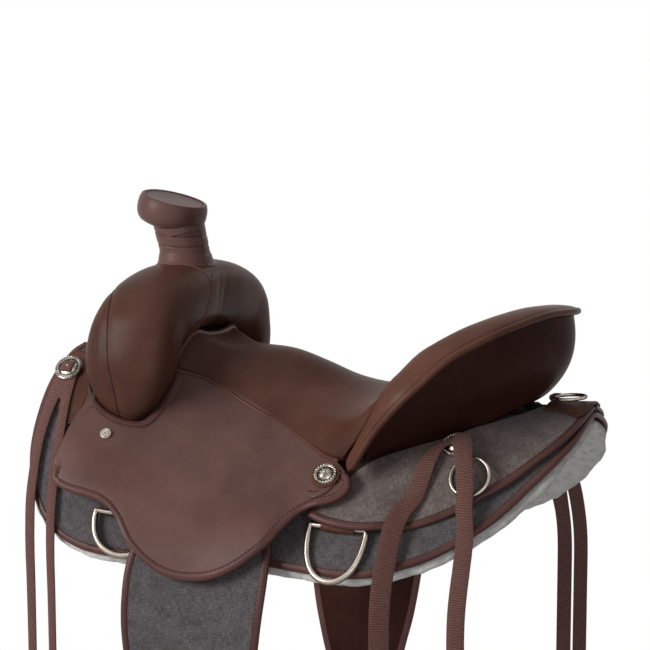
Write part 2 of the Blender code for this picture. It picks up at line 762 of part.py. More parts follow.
# seat jockeys: the leather flaps outside the seat seam
jockey_seam = []
for u in (0.90, 0.80, 0.68, 0.56, 0.44, 0.32, 0.20, 0.09):
    x, v = curve(seam_rows, u)
    jockey_seam.append((x, v + 0.0012 + 0.0018 * ease(0.6, 0.85, u)))
jockey_outline = smooth([(-0.247, 0.139, 0), (-0.232, 0.172), (-0.236, 0.212), (-0.2415, 0.262), (-0.237, 0.275),
                         (-0.214, 0.276), (-0.176, 0.267), (-0.154, 0.271), (-0.129, 0.289), (-0.089, 0.296),
                         (-0.046, 0.288), (-0.005, 0.272), (0.030, 0.243), (0.047, 0.214), (0.061, 0.198),
                         (0.092, 0.187), (0.106, 0.173), (0.104, 0.158), (0.094, 0.150, 0)] + jockey_seam
                        + [(-0.1545, 0.0805, 0), (-0.152, 0.105), (-0.154, 0.140), (-0.165, 0.166),
                           (-0.196, 0.178), (-0.228, 0.169)], 2)
for word, side in sides:
    sheet_body("seat_jockey_" + word, jockey_outline, jockey_low,
               lambda x, v: jockey_low(x, v) + jockey_thick,
               lambda x, v, lift, s=side: back(x, v, lift, s), mat_for("jockey_" + word, "leather"))

# skirts with their fleece lining
skirt_edge = [(-0.283, 0.088, 0), (-0.295, 0.108), (-0.304, 0.152), (-0.303, 0.207), (-0.298, 0.245),
              (-0.288, 0.280), (-0.269, 0.311), (-0.245, 0.328), (-0.214, 0.331), (-0.181, 0.322),
              (-0.143, 0.304), (-0.095, 0.282), (-0.045, 0.265), (0.007, 0.257), (0.062, 0.259),
              (0.110, 0.260), (0.144, 0.255), (0.176, 0.243), (0.207, 0.228), (0.242, 0.203),
              (0.275, 0.170), (0.304, 0.124), (0.321, 0.090), (0.331, 0.055), (0.334, 0.0015, 0),
              (0.225, 0.0015, 0), (0.170, 0.024), (0.000, 0.030), (-0.070, 0.044), (-0.150, 0.084), (-0.230, 0.093)]
skirt_outline = smooth(skirt_edge, 2)
fleece_outline = smooth([(p[0], max(p[1], 0.0065)) + tuple(p[2:]) for p in skirt_edge], 2)
for word, side in sides:
    sheet_body("skirt_" + word, skirt_outline, -skirt_thick, 0.0,
               lambda x, v, lift, s=side: back(x, v, lift, s), mat_for("skirt_" + word, "cloth"))
    sheet_body("fleece_" + word, fleece_outline, -skirt_thick - 2 * gap - fleece_thick, -skirt_thick - 2 * gap,
               lambda x, v, lift, s=side: back(x, v, lift, s), mat_for("fleece_" + word, "wool"),
               soft=0.003)

# rear housing behind and below the cantle
housing_inner = []
for t in (0.12, 0.26, 0.40, 0.54, 0.68, 0.82, 0.93):
    bx, by = curve(base_rows, t)
    out = Vector((1.0, 0.75 * curve(crest_rows, t)[1] / 0.16)).normalized() * 0.0030
    housing_inner.append((bx + out.x, arc_at_side(bx + out.x, by + out.y, bar_edge + bar_thick)))
housing_outline = smooth([(0.062, 0.201, 0), (0.088, 0.208), (0.124, 0.210), (0.168, 0.202), (0.210, 0.184),
                          (0.250, 0.158), (0.277, 0.134), (0.301, 0.102), (0.317, 0.077), (0.329, 0.045),
                          (0.334, 0.0015, 0), (0.2745, 0.0015, 0)] + housing_inner
                         + [(0.090, 0.152, 0), (0.074, 0.172), (0.064, 0.190)], 2)
for word, side in sides:
    sheet_body("rear_housing_" + word, housing_outline, housing_low,
               lambda x, v: housing_low(x, v) + housing_thick,
               lambda x, v, lift, s=side: back(x, v, lift, s), mat_for("housing_" + word, "cloth"))

# strip along the spine with the crupper ring
strip_low = housing_thick + 6 * gap
strip_outline = smooth([(0.279, -0.036, 0), (0.279, 0.036, 0), (0.292, 0.036), (0.308, 0.043), (0.322, 0.052, 0),
                        (0.329, 0.036, 0), (0.3325, 0.012), (0.3325, -0.012), (0.329, -0.036, 0), (0.322, -0.052, 0),
                        (0.308, -0.043), (0.292, -0.036)], 2)
sheet_body("centre_strip", strip_outline, lambda x, v: housing_low(x, v) + strip_low,
           lambda x, v: housing_low(x, v) + strip_low + 0.003,
           lambda x, v, lift: back(x, v, lift, 1), mat_for("strip_leather", "leather"))


# rigging straps that carry the dees
def dee(name, x, v, lift, half, drop, side, wire):
    here, ax, down, out = surface_frame(x, v, lift, side)
    down = back(x, v + drop, lift, side) - here
    down.normalize()
    path = [here + ax * half * k for k in (-1.0, -0.34, 0.34, 1.0)]
    for k in range(1, 9):
        ang = math.pi * k / 9
        path.append(here + ax * half * (math.cos(ang) * 1.0) + down * drop * math.sin(ang) ** 0.75)
    return wire_body(name, path, wire, mat_for(name, "steel"), True, 8, down.cross(ax), here)


rig_thick = 0.0016


def rigging(name, x, v, start, half, side):
    ring = wire_dee + 0.0010 + rig_thick / 2
    low = 2 * gap + rig_thick / 2
    centre = low + ring
    path = [(start, low)] + [(at, low) for at in ticks(start, v - 0.004)] + [(v - 0.004, low)]
    for k in range(9):
        ang = -math.pi / 2 + math.pi * k / 8
        path.append((v + ring * math.cos(ang), centre + ring * math.sin(ang)))
    path.append((v - 0.010, centre + ring))
    band_body(name, path, rig_thick, (x - half, x + half), lambda px, a, b, s=side: back(px, a, b, s),
              mat_for(name, "leather"), inner=ticks(x - half, x + half))
    return centre


for word, side in sides:
    centre = rigging("front_rigging_" + word, -0.155, 0.262, 0.205, 0.022, side)
    dee("front_dee_" + word, -0.155, 0.262, centre, 0.037, 0.047, side, wire_dee)
    centre = rigging("rear_rigging_" + word, 0.098, 0.206, 0.160, 0.020, side)
    dee("rear_dee_" + word, 0.098, 0.206, centre, 0.034, 0.062, side, wire_dee)

# fenders, stirrup leathers, buckles, stirrups; outlines in x and tree height
fender_outline = smooth([(-0.096, -0.168, 0), (-0.128, -0.205), (-0.138, -0.245), (-0.139, -0.285), (-0.136, -0.335),
                         (-0.128, -0.400), (-0.116, -0.455), (-0.100, -0.515), (-0.091, -0.570, 0),
                         (-0.019, -0.570, 0), (-0.010, -0.515), (0.004, -0.455), (0.016, -0.410), (0.027, -0.350),
                         (0.032, -0.295), (0.032, -0.245), (0.024, -0.205), (-0.014, -0.168, 0)], 2)
fender_outline = [(p[0], p[1] + tree_lift) for p in fender_outline]
strap_lift = fender_lift - 5 * gap - strap_thick / 2
pivot_z = back(hanger_x, hanger_v, strap_lift, 1).z
for word, side in sides:
    pivot = hang(hanger_x, pivot_z, strap_lift, side)
    # the notch in the bar that the stirrup leather turns in
    ax = Vector((1, 0, 0))
    down = (hang(hanger_x, pivot_z - 0.02, strap_lift, side) - pivot).normalized()
    out = down.cross(ax)
    notch = leather_width / 2 + notch_gap
    flare = notch + 0.04 * math.tan(math.radians(13))
    profile = [(-notch * math.cos(math.pi * k / 10), -notch * math.sin(math.pi * k / 10)) for k in range(11)]
    profile += [(flare, 0.04), (-flare, 0.04)]
    cut(bpy.data.objects["tree_bar_" + word],
        loft_body("hole", [[pivot + ax * a + down * b + out * level for a, b in profile] for level in (-0.03, 0.03)],
                  mat_for("hole", "wood")))
    sheet_body("fender_" + word, fender_outline, fender_lift, fender_lift + fender_thick,
               lambda x, z, off, s=side: hang(x, z, off, s),
               mat_for("fender_" + word, "cloth"), origin=pivot)
    bolt_z = tree_lift - stirrup_drop
    ring = bolt_radius + gap + strap_thick / 2
    inside = strap_lift
    path = [(pivot_z, inside)]
    path += [(z, inside) for z in reversed(ticks(bolt_z + 0.03, pivot_z))]
    path += [(bolt_z + 0.022, inside), (bolt_z + 0.006, inside)]
    centre_lift = inside + ring
    for k in range(9):
        ang = math.pi + math.pi * k / 8
        path.append((bolt_z + ring * math.sin(ang), centre_lift + ring * math.cos(ang)))
    path.append((bolt_z + 0.010, centre_lift + ring * 0.9))
    path.append((bolt_z + 0.030, inside + strap_thick + gap))
    path.append((bolt_z + 0.060, inside + strap_thick + gap))
    band_body("stirrup_leather_" + word, path, strap_thick,
              (hanger_x - leather_width / 2, hanger_x + leather_width / 2),
              lambda x, z, off, s=side: hang(x, z, off, s), mat_for("strap_" + word, "leather"), origin=pivot,
              inner=ticks(hanger_x - leather_width / 2, hanger_x + leather_width / 2))
    bolt_at = hang(hanger_x, bolt_z, centre_lift, side)
    buckle_z = tree_lift - 0.345
    buckle_lift = inside - strap_thick / 2 - 3 * gap - 0.0025
    band_body("leather_buckle_" + word, [(buckle_z + 0.023, buckle_lift), (buckle_z, buckle_lift),
                                         (buckle_z - 0.023, buckle_lift)], 0.005,
              (hanger_x - 0.026, hanger_x + 0.026), lambda x, z, off, s=side: hang(x, z, off, s),
              mat_for("buckle_" + word, "steel"), origin=pivot)
    # stirrup
    half_top = leather_width / 2 + 0.003
    tread_z = tree_lift - tread_drop
    rows = []
    arm = [(-half_top - 0.005, bolt_at.z + 0.014, 0.014, 0.005), (-half_top - 0.006, bolt_at.z - 0.010, 0.015, 0.005),
           (-half_top - 0.014, bolt_at.z - 0.045, 0.020, 0.005), (-0.060, bolt_at.z - 0.090, 0.024, 0.005),
           (-0.066, tread_z + 0.022, 0.027, 0.006), (-0.058, tread_z + 0.004, 0.028, 0.007),
           (-0.040, tread_z - 0.006, 0.028, 0.007), (0.0, tread_z - 0.007, 0.028, 0.007)]
    arm = arm + [(-a, z, wide, thick) for a, z, wide, thick in reversed(arm[:-1])]
    for i, (px, pz, wide, thick) in enumerate(arm):
        a = arm[max(i - 1, 0)]
        b = arm[min(i + 1, len(arm) - 1)]
        d = Vector((b[0] - a[0], 0, b[1] - a[1])).normalized()
        n = Vector((d.z, 0, -d.x))
        middle = Vector((hanger_x + px, bolt_at.y, pz))
        ring_points = []
        for sy, sn in ((-1, -0.5), (-0.8, -1), (0.8, -1), (1, -0.5), (1, 0.5), (0.8, 1), (-0.8, 1), (-1, 0.5)):
            ring_points.append(middle + Vector((0, sy * wide, 0)) + n * sn * thick)
        rows.append(ring_points)
    stirrup = loft_body("stirrup_" + word, rows, mat_for("stirrup_" + word, "dark"), origin=bolt_at)
    for sx in (-1, 1):
        at = bolt_at + Vector((sx * (half_top + 0.005), 0, 0))
        cut(stirrup, spin_body("hole", [(0, -0.012), (bolt_radius + gap, -0.012), (bolt_radius + gap, 0.012),
                                        (0, 0.012)], mat_for("hole", "wood"),
                               lambda p, c=at: c + Vector((p.z, p.x, p.y)), 12))
    reach = half_top + 0.0112
    profile = [(0, -reach - 0.004), (0.004, -reach - 0.0036), (0.0068, -reach - 0.0015), (0.0072, -reach),
               (bolt_radius, -reach), (bolt_radius, reach), (0.0072, reach), (0.0068, reach + 0.0015),
               (0.004, reach + 0.0036), (0, reach + 0.004)]
    spin_body("stirrup_bolt_" + word, profile, mat_for("bolt_" + word, "steel"),
              lambda p, c=bolt_at: c + Vector((p.z, p.x, p.y)), 12, origin=bolt_at)

# front tabs with slotted conchos, side rings, rosettes
front_tab = smooth([(-0.291, 0.112), (-0.260, 0.108), (-0.246, 0.150), (-0.246, 0.186), (-0.256, 0.203),
                    (-0.270, 0.201), (-0.284, 0.165)], 2)
tab_thick = 0.003
for word, side in sides:
    lay = lambda x, v, lift, s=side: back(x, v, lift, s)
    sheet_body("front_tab_" + word, front_tab, 2 * gap, 2 * gap + tab_thick, lay, mat_for("tab_" + word, "leather"),
               soft=0.0008)
    string_low = 2 * gap + tab_thick + 0.0010
    here, ax, down, out = surface_frame(-0.281, 0.136, string_low + string_thick + 0.0012, side)
    spin_body("front_concho_" + word, [(0, 0.0035), (0.007, 0.0033), (0.0125, 0.0018), (0.0145, 0.0022),
                                       (0.0160, 0.0012), (0.0160, 0), (0, 0)], mat_for("fconcho_" + word, "silver"),
              lambda p, h=here, a=ax, d=down, o=out: h + a * p.x + d * p.y + o * p.z, 18)
    # rosette on the rear corner of the jockey
    jt = jockey_low(0.074, 0.150) + jockey_thick + gap
    here, ax, down, out = surface_frame(0.074, 0.158, jt + 0.0004, side)
    bm_points = []
    for k in range(24):
        ang = 2 * math.pi * k / 24
        r = 0.0185 + (0.0012 if k % 2 else -0.0006)
        bm_points.append((r * math.cos(ang), r * math.sin(ang)))
    sheet_body("rosette_" + word, bm_points, 0.0, 0.0025,
               lambda a, b, lift, h=here, x=ax, d=down, o=out: h + x * a + d * b + o * lift,
               mat_for("rosette_" + word, "leather"), step=(0.05, 0.05))
    spin_body("rosette_concho_" + word, [(0, 0.0080), (0.006, 0.0070), (0.0095, 0.0050), (0.0112, 0.0052),
                                         (0.0130, 0.0040), (0.0130, 0.0028), (0, 0.0028)],
              mat_for("rconcho_" + word, "silver"),
              lambda p, h=here, a=ax, d=down, o=out: h + a * p.x + d * p.y + o * p.z, 18)
    # side ring held by a small loop on the housing
    rx, rv = 0.2275, 0.119
    loop = wire_ring + gap + 0.0008
    seat_high = gap + 0.0026 + loop
    here, ax, down, out = surface_frame(rx, rv, housing_low(rx, rv) + housing_thick + seat_high, side)
    tx, tv = rx + 0.016, rv + 0.043
    lie = (back(tx, tv, housing_low(tx, tv) + housing_thick + wire_ring + 0.0035, side) - here).normalized()
    ax = (ax - lie * ax.dot(lie)).normalized()
    out = lie.cross(ax) if lie.cross(ax).dot(out) > 0 else ax.cross(lie)
    ring_radius = 0.0225
    centre = here + lie * ring_radius
    path = [centre + ring_radius * (math.cos(2 * math.pi * k / 20) * ax + math.sin(2 * math.pi * k / 20) * lie)
            for k in range(20)]
    wire_body("side_ring_" + word, path, wire_ring, mat_for("ring_" + word, "steel"), True, 8, lie.cross(ax), here)
    loop = wire_ring + gap + 0.0019
    path = [(-0.0095, -loop), (-0.005, -loop)]
    for k in range(8):
        ang = -math.pi / 2 + math.pi * k / 7
        path.append((loop * math.cos(ang), loop * math.sin(ang)))
    path.append((-0.006, loop))
    band_body("ring_keeper_" + word, path, 0.0016, (-0.005, 0.005),
              lambda x, a, b, h=here, e=ax, d=lie, o=out: h + e * x + d * a + o * b,
              mat_for("keeper_" + word, "leather"))

# crupper ring behind the cantle, lying on the strip
crupper_x = 0.284
top_z = back(crupper_x, 0, housing_low(crupper_x, 0) + strip_low + 0.003, 1).z
here = Vector((crupper_x, 0, top_z + 0.0048))
lie = (Vector((0.325, 0, back(0.325, 0, housing_low(0.325, 0) + strip_low + 0.0075, 1).z)) - here).normalized()
cross = Vector((0, 1, 0))
ring_radius = 0.0185
path = [here + lie * (ring_radius - ring_radius * math.cos(2 * math.pi * k / 20))
        + cross * ring_radius * math.sin(2 * math.pi * k / 20) for k in range(20)]
wire_body("crupper_ring", path, wire_ring, mat_for("crupper_ring", "steel"), True, 8, lie.cross(cross), here)
loop = wire_ring + gap + 0.0010
up = lie.cross(cross)
if up.z < 0:
    up = -up
path = [(0.007, loop)]
for k in range(8):
    ang = math.pi / 2 + math.pi * k / 7
    path.append((loop * math.cos(ang), loop * math.sin(ang)))
path.append((0.010, -loop))
band_body("crupper_keeper", path, 0.0016, (-0.005, 0.005),
          lambda y, a, b: here + cross * y + lie * a + up * b, mat_for("crupper_keeper", "leather"))

# saddle strings: each one strap doubled through its concho, both ends hanging
rear_string = smooth([(0.176, 0.110, 0), (0.185, 0.100), (0.200, 0.093), (0.224, 0.091, 0), (0.233, 0.110),
                      (0.243, 0.145), (0.248, 0.177), (0.255, 0.223), (0.257, 0.330), (0.257, 0.560, 0),
                      (0.238, 0.560, 0), (0.238, 0.330), (0.236, 0.223), (0.229, 0.177), (0.224, 0.145),
                      (0.214, 0.118), (0.205, 0.108), (0.198, 0.114), (0.193, 0.136), (0.187, 0.165),
                      (0.174, 0.205), (0.174, 0.330), (0.174, 0.540, 0), (0.155, 0.540, 0), (0.155, 0.330),
                      (0.154, 0.205), (0.167, 0.165), (0.174, 0.136)], 2)
far_string = smooth([(0.180, 0.110, 0), (0.187, 0.100), (0.200, 0.093), (0.224, 0.091, 0), (0.236, 0.112),
                     (0.250, 0.145), (0.258, 0.180), (0.262, 0.223), (0.262, 0.330), (0.262, 0.560, 0),
                     (0.244, 0.560, 0), (0.244, 0.330), (0.244, 0.240), (0.2425, 0.215), (0.241, 0.240),
                     (0.241, 0.330), (0.241, 0.540, 0), (0.222, 0.540, 0), (0.222, 0.330), (0.221, 0.240),
                     (0.213, 0.200), (0.203, 0.165), (0.192, 0.136)], 2)
front_string = smooth([(-0.292, 0.128, 0), (-0.270, 0.124, 0), (-0.264, 0.170), (-0.254, 0.230), (-0.2455, 0.290),
                       (-0.239, 0.350), (-0.238, 0.460), (-0.238, 0.620, 0), (-0.248, 0.620, 0), (-0.248, 0.460),
                       (-0.250, 0.350), (-0.2575, 0.290), (-0.266, 0.230), (-0.273, 0.185), (-0.279, 0.180),
                       (-0.280, 0.230), (-0.274, 0.290), (-0.267, 0.350), (-0.266, 0.460), (-0.266, 0.600, 0),
                       (-0.277, 0.600, 0), (-0.277, 0.460), (-0.279, 0.350), (-0.286, 0.290), (-0.292, 0.230),
                       (-0.294, 0.175)], 2)
for word, side, outline, over in (("near", -1, rear_string, 0.200), ("off", 1, far_string, 0.188)):
    low = lambda x, w, o=over: (housing_low(x, min(w, 0.206)) + housing_thick + 0.0018
                                + 0.0048 * (1 - ease(0.125, 0.165, w))
                                + 0.0030 * ease(0.120, 0.150, w) * (1 - ease(0.200, 0.235, w)) * (1 - ease(0.175, 0.195, x))
                                + 0.0088 * max(ease(0.200, 0.214, x) * ease(0.088, 0.100, w),
                                               ease(o, o + 0.014, x) * ease(0.104, 0.118, w))
                                * (1 - ease(0.165, 0.200, w)))
    hinge = back(0.2105, 0.090, low(0.2105, 0.090), side)
    sheet_body("rear_string_" + word, outline, low, lambda x, w, f=low: f(x, w) + string_thick,
               lambda x, w, lift, s=side: drape(x, w, lift, s, 0.24, 0.080),
               mat_for("rstring_" + word, "webbing"), extra=(0.105, 0.135, 0.165), origin=hinge)
    hinge = back(-0.281, 0.120, 2 * gap + tab_thick, side)
    sheet_body("front_string_" + word, front_string, 2 * gap + tab_thick + 0.0010,
               2 * gap + tab_thick + 0.0010 + string_thick,
               lambda x, w, lift, s=side: drape(x, w, lift, s, 0.27, 0.110),
               mat_for("fstring_" + word, "webbing"), origin=hinge)
    here, ax, down, out = surface_frame(0.2085, 0.101, housing_low(0.2085, 0.101) + housing_thick + 0.0009, side)
    spin_body("rear_concho_" + word, [(0, 0.0067), (0.006, 0.0065), (0.0100, 0.0049), (0.0125, 0.0030),
                                      (0.0140, 0.0012), (0.0140, 0), (0, 0)], mat_for("sconcho_" + word, "silver"),
              lambda p, h=here, a=ax, d=down, o=out: h + a * p.x + d * p.y + o * p.z, 18)
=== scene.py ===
# Mule saddle: leather, woven nylon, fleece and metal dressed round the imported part, in its frame, in metres.
# The animal's head is toward -X, the near side is -Y, up is +Z.
import bpy
import bmesh
import math
import numpy as np
from mathutils import Matrix, Vector, noise
from mathutils.bvhtree import BVHTree
from mathutils.geometry import delaunay_2d_cdt


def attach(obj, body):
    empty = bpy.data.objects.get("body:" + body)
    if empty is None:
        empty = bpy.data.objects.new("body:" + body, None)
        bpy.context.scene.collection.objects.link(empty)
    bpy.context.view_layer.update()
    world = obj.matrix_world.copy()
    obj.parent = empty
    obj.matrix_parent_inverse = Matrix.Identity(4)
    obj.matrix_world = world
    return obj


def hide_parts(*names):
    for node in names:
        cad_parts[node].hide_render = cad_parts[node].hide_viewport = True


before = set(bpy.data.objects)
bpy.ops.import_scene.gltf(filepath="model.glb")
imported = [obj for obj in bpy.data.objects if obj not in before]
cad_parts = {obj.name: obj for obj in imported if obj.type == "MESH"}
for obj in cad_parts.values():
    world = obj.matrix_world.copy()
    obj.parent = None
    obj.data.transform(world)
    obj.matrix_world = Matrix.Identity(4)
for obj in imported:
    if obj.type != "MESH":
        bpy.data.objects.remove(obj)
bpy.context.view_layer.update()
scene = bpy.context.scene
scene.view_settings.view_transform = "Standard"
sides = (("near", -1), ("off", 1))


def ease(low, high, value):
    t = min(1.0, max(0.0, (value - low) / (high - low)))
    return t * t * (3.0 - 2.0 * t)


def mix(a, b, share):
    return a + (b - a) * share


def rowCurve(rows, t):
    # smooth open curve through (t, a, b, ...) rows
    rows = sorted(rows)
    if t <= rows[0][0]:
        return rows[0][1:]
    if t >= rows[-1][0]:
        return rows[-1][1:]
    i = max(k for k in range(len(rows) - 1) if rows[k][0] <= t)
    one, two = rows[i], rows[i + 1]
    before = rows[max(i - 1, 0)]
    after = rows[min(i + 2, len(rows) - 1)]
    span = two[0] - one[0]
    s = (t - one[0]) / span
    out = []
    for k in range(1, len(one)):
        m1 = (two[k] - before[k]) / max(1e-9, two[0] - before[0]) * span
        m2 = (after[k] - one[k]) / max(1e-9, after[0] - one[0]) * span
        out.append((2 * s ** 3 - 3 * s * s + 1) * one[k] + (s ** 3 - 2 * s * s + s) * m1
                   + (-2 * s ** 3 + 3 * s * s) * two[k] + (s ** 3 - s * s) * m2)
    return tuple(out)


def smoothOutline(points, fine=5):
    # closed curve through points; a third value marks a corner
    out = []
    count = len(points)
    for i in range(count):
        p0, p1, p2, p3 = (points[(i + k) % count] for k in (-1, 0, 1, 2))
        if len(p1) == 3:
            p0 = (2 * p1[0] - p2[0], 2 * p1[1] - p2[1])
        if len(p2) == 3:
            p3 = (2 * p2[0] - p1[0], 2 * p2[1] - p1[1])
        for j in range(fine):
            t = j / fine
            a, b = -t ** 3 + 2 * t * t - t, 3 * t ** 3 - 5 * t * t + 2
            c, d = -3 * t ** 3 + 4 * t * t + t, t ** 3 - t * t
            out.append((0.5 * (a * p0[0] + b * p1[0] + c * p2[0] + d * p3[0]),
                        0.5 * (a * p0[1] + b * p1[1] + c * p2[1] + d * p3[1])))
    return out


# the mule's back, and the heights of the layers on it
shape = {
    "fleece": 0.012, "skirt": 0.005, "housing": 0.004, "jockey": 0.005, "bar": 0.015, "barEdge": 0.003,
    "clear": 0.0003, "treeRise": 0.092, "rearRise": 0.014, "frontRise": 0.112, "middleRadius": 0.290,
    "rearTighten": 0.050, "frontOpen": 0.110, "middleTilt": 12.0, "rearTilt": 2.0, "frontTilt": 13.0,
    "frontStart": -0.020, "frontEnd": -0.300, "rearEnd": 0.335, "jockeyRise": 0.0105, "deeBulge": 0.0125,
}
clear = shape["clear"]
middleHeight = shape["fleece"] + 2 * clear + shape["skirt"]
treeLift = middleHeight + shape["treeRise"]
barTop = shape["barEdge"] + shape["bar"]


def section(x):
    # height of the ridge, radius and tilt of the flanks at x
    front = ease(shape["frontStart"], shape["frontEnd"], x) if x < shape["frontStart"] else 0.0
    rear = (x / shape["rearEnd"]) ** 2 if x > 0 else 0.0
    height = middleHeight + shape["rearRise"] * rear + shape["frontRise"] * front
    radius = shape["middleRadius"] - shape["rearTighten"] * rear + shape["frontOpen"] * front
    tilt = shape["middleTilt"] + shape["rearTilt"] * rear + shape["frontTilt"] * front
    return height, radius, math.radians(tilt)


def backPoint(x, v, lift, side=1):
    # v is the arc length from the ridge, lift the height over the skirt's top
    height, radius, tilt = section(x)
    turn = tilt + abs(v) / radius
    y = radius * (math.sin(turn) - math.sin(tilt)) + lift * math.sin(turn)
    z = height - radius * (math.cos(tilt) - math.cos(turn)) + lift * math.cos(turn)
    return Vector((x, y * (side if v >= 0 else -side), z))


def findArc(test):
    # the arc length where test stops holding
    low, high = 0.0, 0.45
    for _ in range(36):
        middle = (low + high) / 2
        if test(middle):
            low = middle
        else:
            high = middle
    return (low + high) / 2


def backHeight(x, y, lift):
    return backPoint(x, findArc(lambda v: backPoint(x, v, lift).y < abs(y)), lift).z


def housingLow(x, v):
    # the rear housing's under side, over the tree bar and the rear dee's strap
    v = abs(v)
    over = shape["barEdge"] * (1 - ease(0.150, 0.190, v))
    bulge = shape["deeBulge"] * (1 - ease(0.042, 0.080, abs(x - 0.099))) * ease(0.146, 0.178, v)
    rise = shape["bar"] * (1 - ease(0.215, 0.285, abs(x))) * (1 - ease(0.105, 0.175, v))
    return 2 * clear + over + rise + bulge


def jockeyLow(x, v):
    # the jockey's under side, over the bar, the housing and the fender
    over = (shape["housing"] + 2 * clear) * ease(0.052, 0.078, x) * ease(0.118, 0.140, v)
    fender = 1 - ease(0.020, 0.050, x)
    rise = shape["jockeyRise"] * (2 + fender) / 3 * ease(0.175 - 0.025 * fender, 0.245 - 0.020 * fender, v)
    return barTop + 2 * clear + over + rise


hanger = {"x": -0.055, "leaveZ": treeLift - 0.245, "span": 0.090, "lift": 0.0145, "thick": 0.0035}


def hangLine(x, z):
    # how far out a fender hangs at x and z, and how its thickness stretches there
    top = max(z, hanger["leaveZ"])
    arc = findArc(lambda v: backPoint(x, v, 0).z > top)
    one, two = backPoint(x, arc, 0), backPoint(x, arc - 0.01, 0)
    slope = (one.y - two.y) / max(1e-6, two.z - one.z)
    y = one.y
    if z < hanger["leaveZ"]:
        span = min(hanger["leaveZ"] - z, hanger["span"])
        y += slope * (span - span * span / (2 * hanger["span"]))
        even = ease(0.05, 0.30, hanger["leaveZ"] - z)
        if x != hanger["x"] and even > 0:
            y = mix(y, hangLine(hanger["x"], z)[0], even)
        slope *= 1 - span / hanger["span"]
    return y, math.sqrt(1 + slope * slope)


hangKnown = {}


def hangPoint(x, z, off, side=1):
    # the surface that a fender hangs on, read between lines 12 mm apart
    grid = 0.012
    i, j = math.floor(x / grid), math.floor(z / grid)
    a, b = x / grid - i, z / grid - j
    y = 0.0
    for di, dj, share in ((0, 0, (1 - a) * (1 - b)), (1, 0, a * (1 - b)), (0, 1, (1 - a) * b), (1, 1, a * b)):
        key = (i + di, j + dj)
        if key not in hangKnown:
            hangKnown[key] = hangLine(key[0] * grid, key[1] * grid)
        here, stretch = hangKnown[key]
        y += share * (here + off * stretch)
    return Vector((x, side * y, z))


def drapePoint(x, w, lift, side, leave, swing):
    # follows the back to arc length leave, then bends down and hangs straight
    if w <= leave:
        return backPoint(x, w, lift, side)
    here, above = backPoint(x, leave, 0), backPoint(x, leave - 0.002, 0)
    start = math.atan2(above.z - here.z, here.y - above.y)
    y, z = here.y, here.z
    span = min(w - leave, swing)
    steps = 10
    for i in range(steps):
        turn = mix(start, math.pi / 2, ease(0, swing, span * (i + 0.5) / steps))
        y += math.cos(turn) * span / steps
        z -= math.sin(turn) * span / steps
    turn = mix(start, math.pi / 2, ease(0, swing, span))
    z -= max(0.0, w - leave - swing)
    return Vector((x, side * (y + lift * math.sin(turn)), z + lift * math.cos(turn)))


def surfaceAxes(x, v, lift, side):
    here = backPoint(x, v, lift, side)
    down = (backPoint(x, v + 0.001, lift, side) - backPoint(x, v - 0.001, lift, side)).normalized()
    along = (backPoint(x + 0.01, v, lift, side) - backPoint(x - 0.01, v, lift, side)).normalized()
    out = along.cross(down).normalized()
    if out.dot(backPoint(x, v, lift + 0.001, side) - here) < 0:
        out = -out
    along = down.cross(out) if down.cross(out).dot(along) > 0 else out.cross(down)
    return here, along, down, out


# colours from deep to light for every finish; a metal has its worn and its clean colour
finish = {
    "leather": ((0.082, 0.0300, 0.0190), (0.126, 0.0500, 0.0330), (0.165, 0.0710, 0.0490)),
    # saddle: the seat leather made darker, painted shade for the seat, the fork and the strip
    "saddle": ((0.061, 0.0235, 0.0155), (0.094, 0.0385, 0.0265), (0.126, 0.0550, 0.0395)),
    # flap: the leather made lighter and greyer, a painted sheen standing in for lamp reflection
    "flap": ((0.098, 0.0460, 0.0385), (0.140, 0.0695, 0.0590), (0.177, 0.0940, 0.0825)),
    "binding": ((0.066, 0.0260, 0.0220), (0.106, 0.0440, 0.0380), (0.146, 0.0660, 0.0570)),
    "dark": ((0.021, 0.0064, 0.0048), (0.040, 0.0125, 0.0090), (0.064, 0.0220, 0.0145)),
    "seam": ((0.130, 0.0550, 0.0380), (0.170, 0.0800, 0.0560), (0.210, 0.1050, 0.0750)),
    "thread": ((0.030, 0.0120, 0.0090), (0.055, 0.0240, 0.0180), (0.080, 0.0360, 0.0280)),
    "cloth": ((0.042, 0.0365, 0.0380), (0.096, 0.0840, 0.0870), (0.210, 0.1860, 0.1900)),
    # the same nylon made lighter for the rear housing: painted light, as the housing faces the lamps more than
    # the skirts
    "litCloth": ((0.070, 0.0530, 0.0480), (0.160, 0.1240, 0.1130), (0.320, 0.2600, 0.2400)),
    "webbing": ((0.085, 0.0370, 0.0290), (0.185, 0.0860, 0.0720), (0.270, 0.1400, 0.1200)),
    "wool": ((0.62, 0.590, 0.54), (0.82, 0.795, 0.75), (0.91, 0.900, 0.88)),
    # wood: made very dark, painted shade where the tree shows through gaps
    "wood": ((0.030, 0.0170, 0.0100), (0.070, 0.0400, 0.0240)),
    "steel": ((0.26, 0.215, 0.180), (0.37, 0.315, 0.270)),
    "silver": ((0.15, 0.120, 0.095), (0.50, 0.455, 0.400)),
    # recess: blackened patina in the conchos' grooves, and painted shade in their lace slots and in the
    # leather slits
    "recess": ((0.02, 0.016, 0.014), (0.05, 0.040, 0.035)),
}


def startMaterial(name, sockets):
    mat = bpy.data.materials.new(name)
    mat.use_nodes = True
    shader = mat.node_tree.nodes["Principled BSDF"]
    for socket, value in sockets.items():
        shader.inputs[socket].default_value = value
    return mat, mat.node_tree, shader


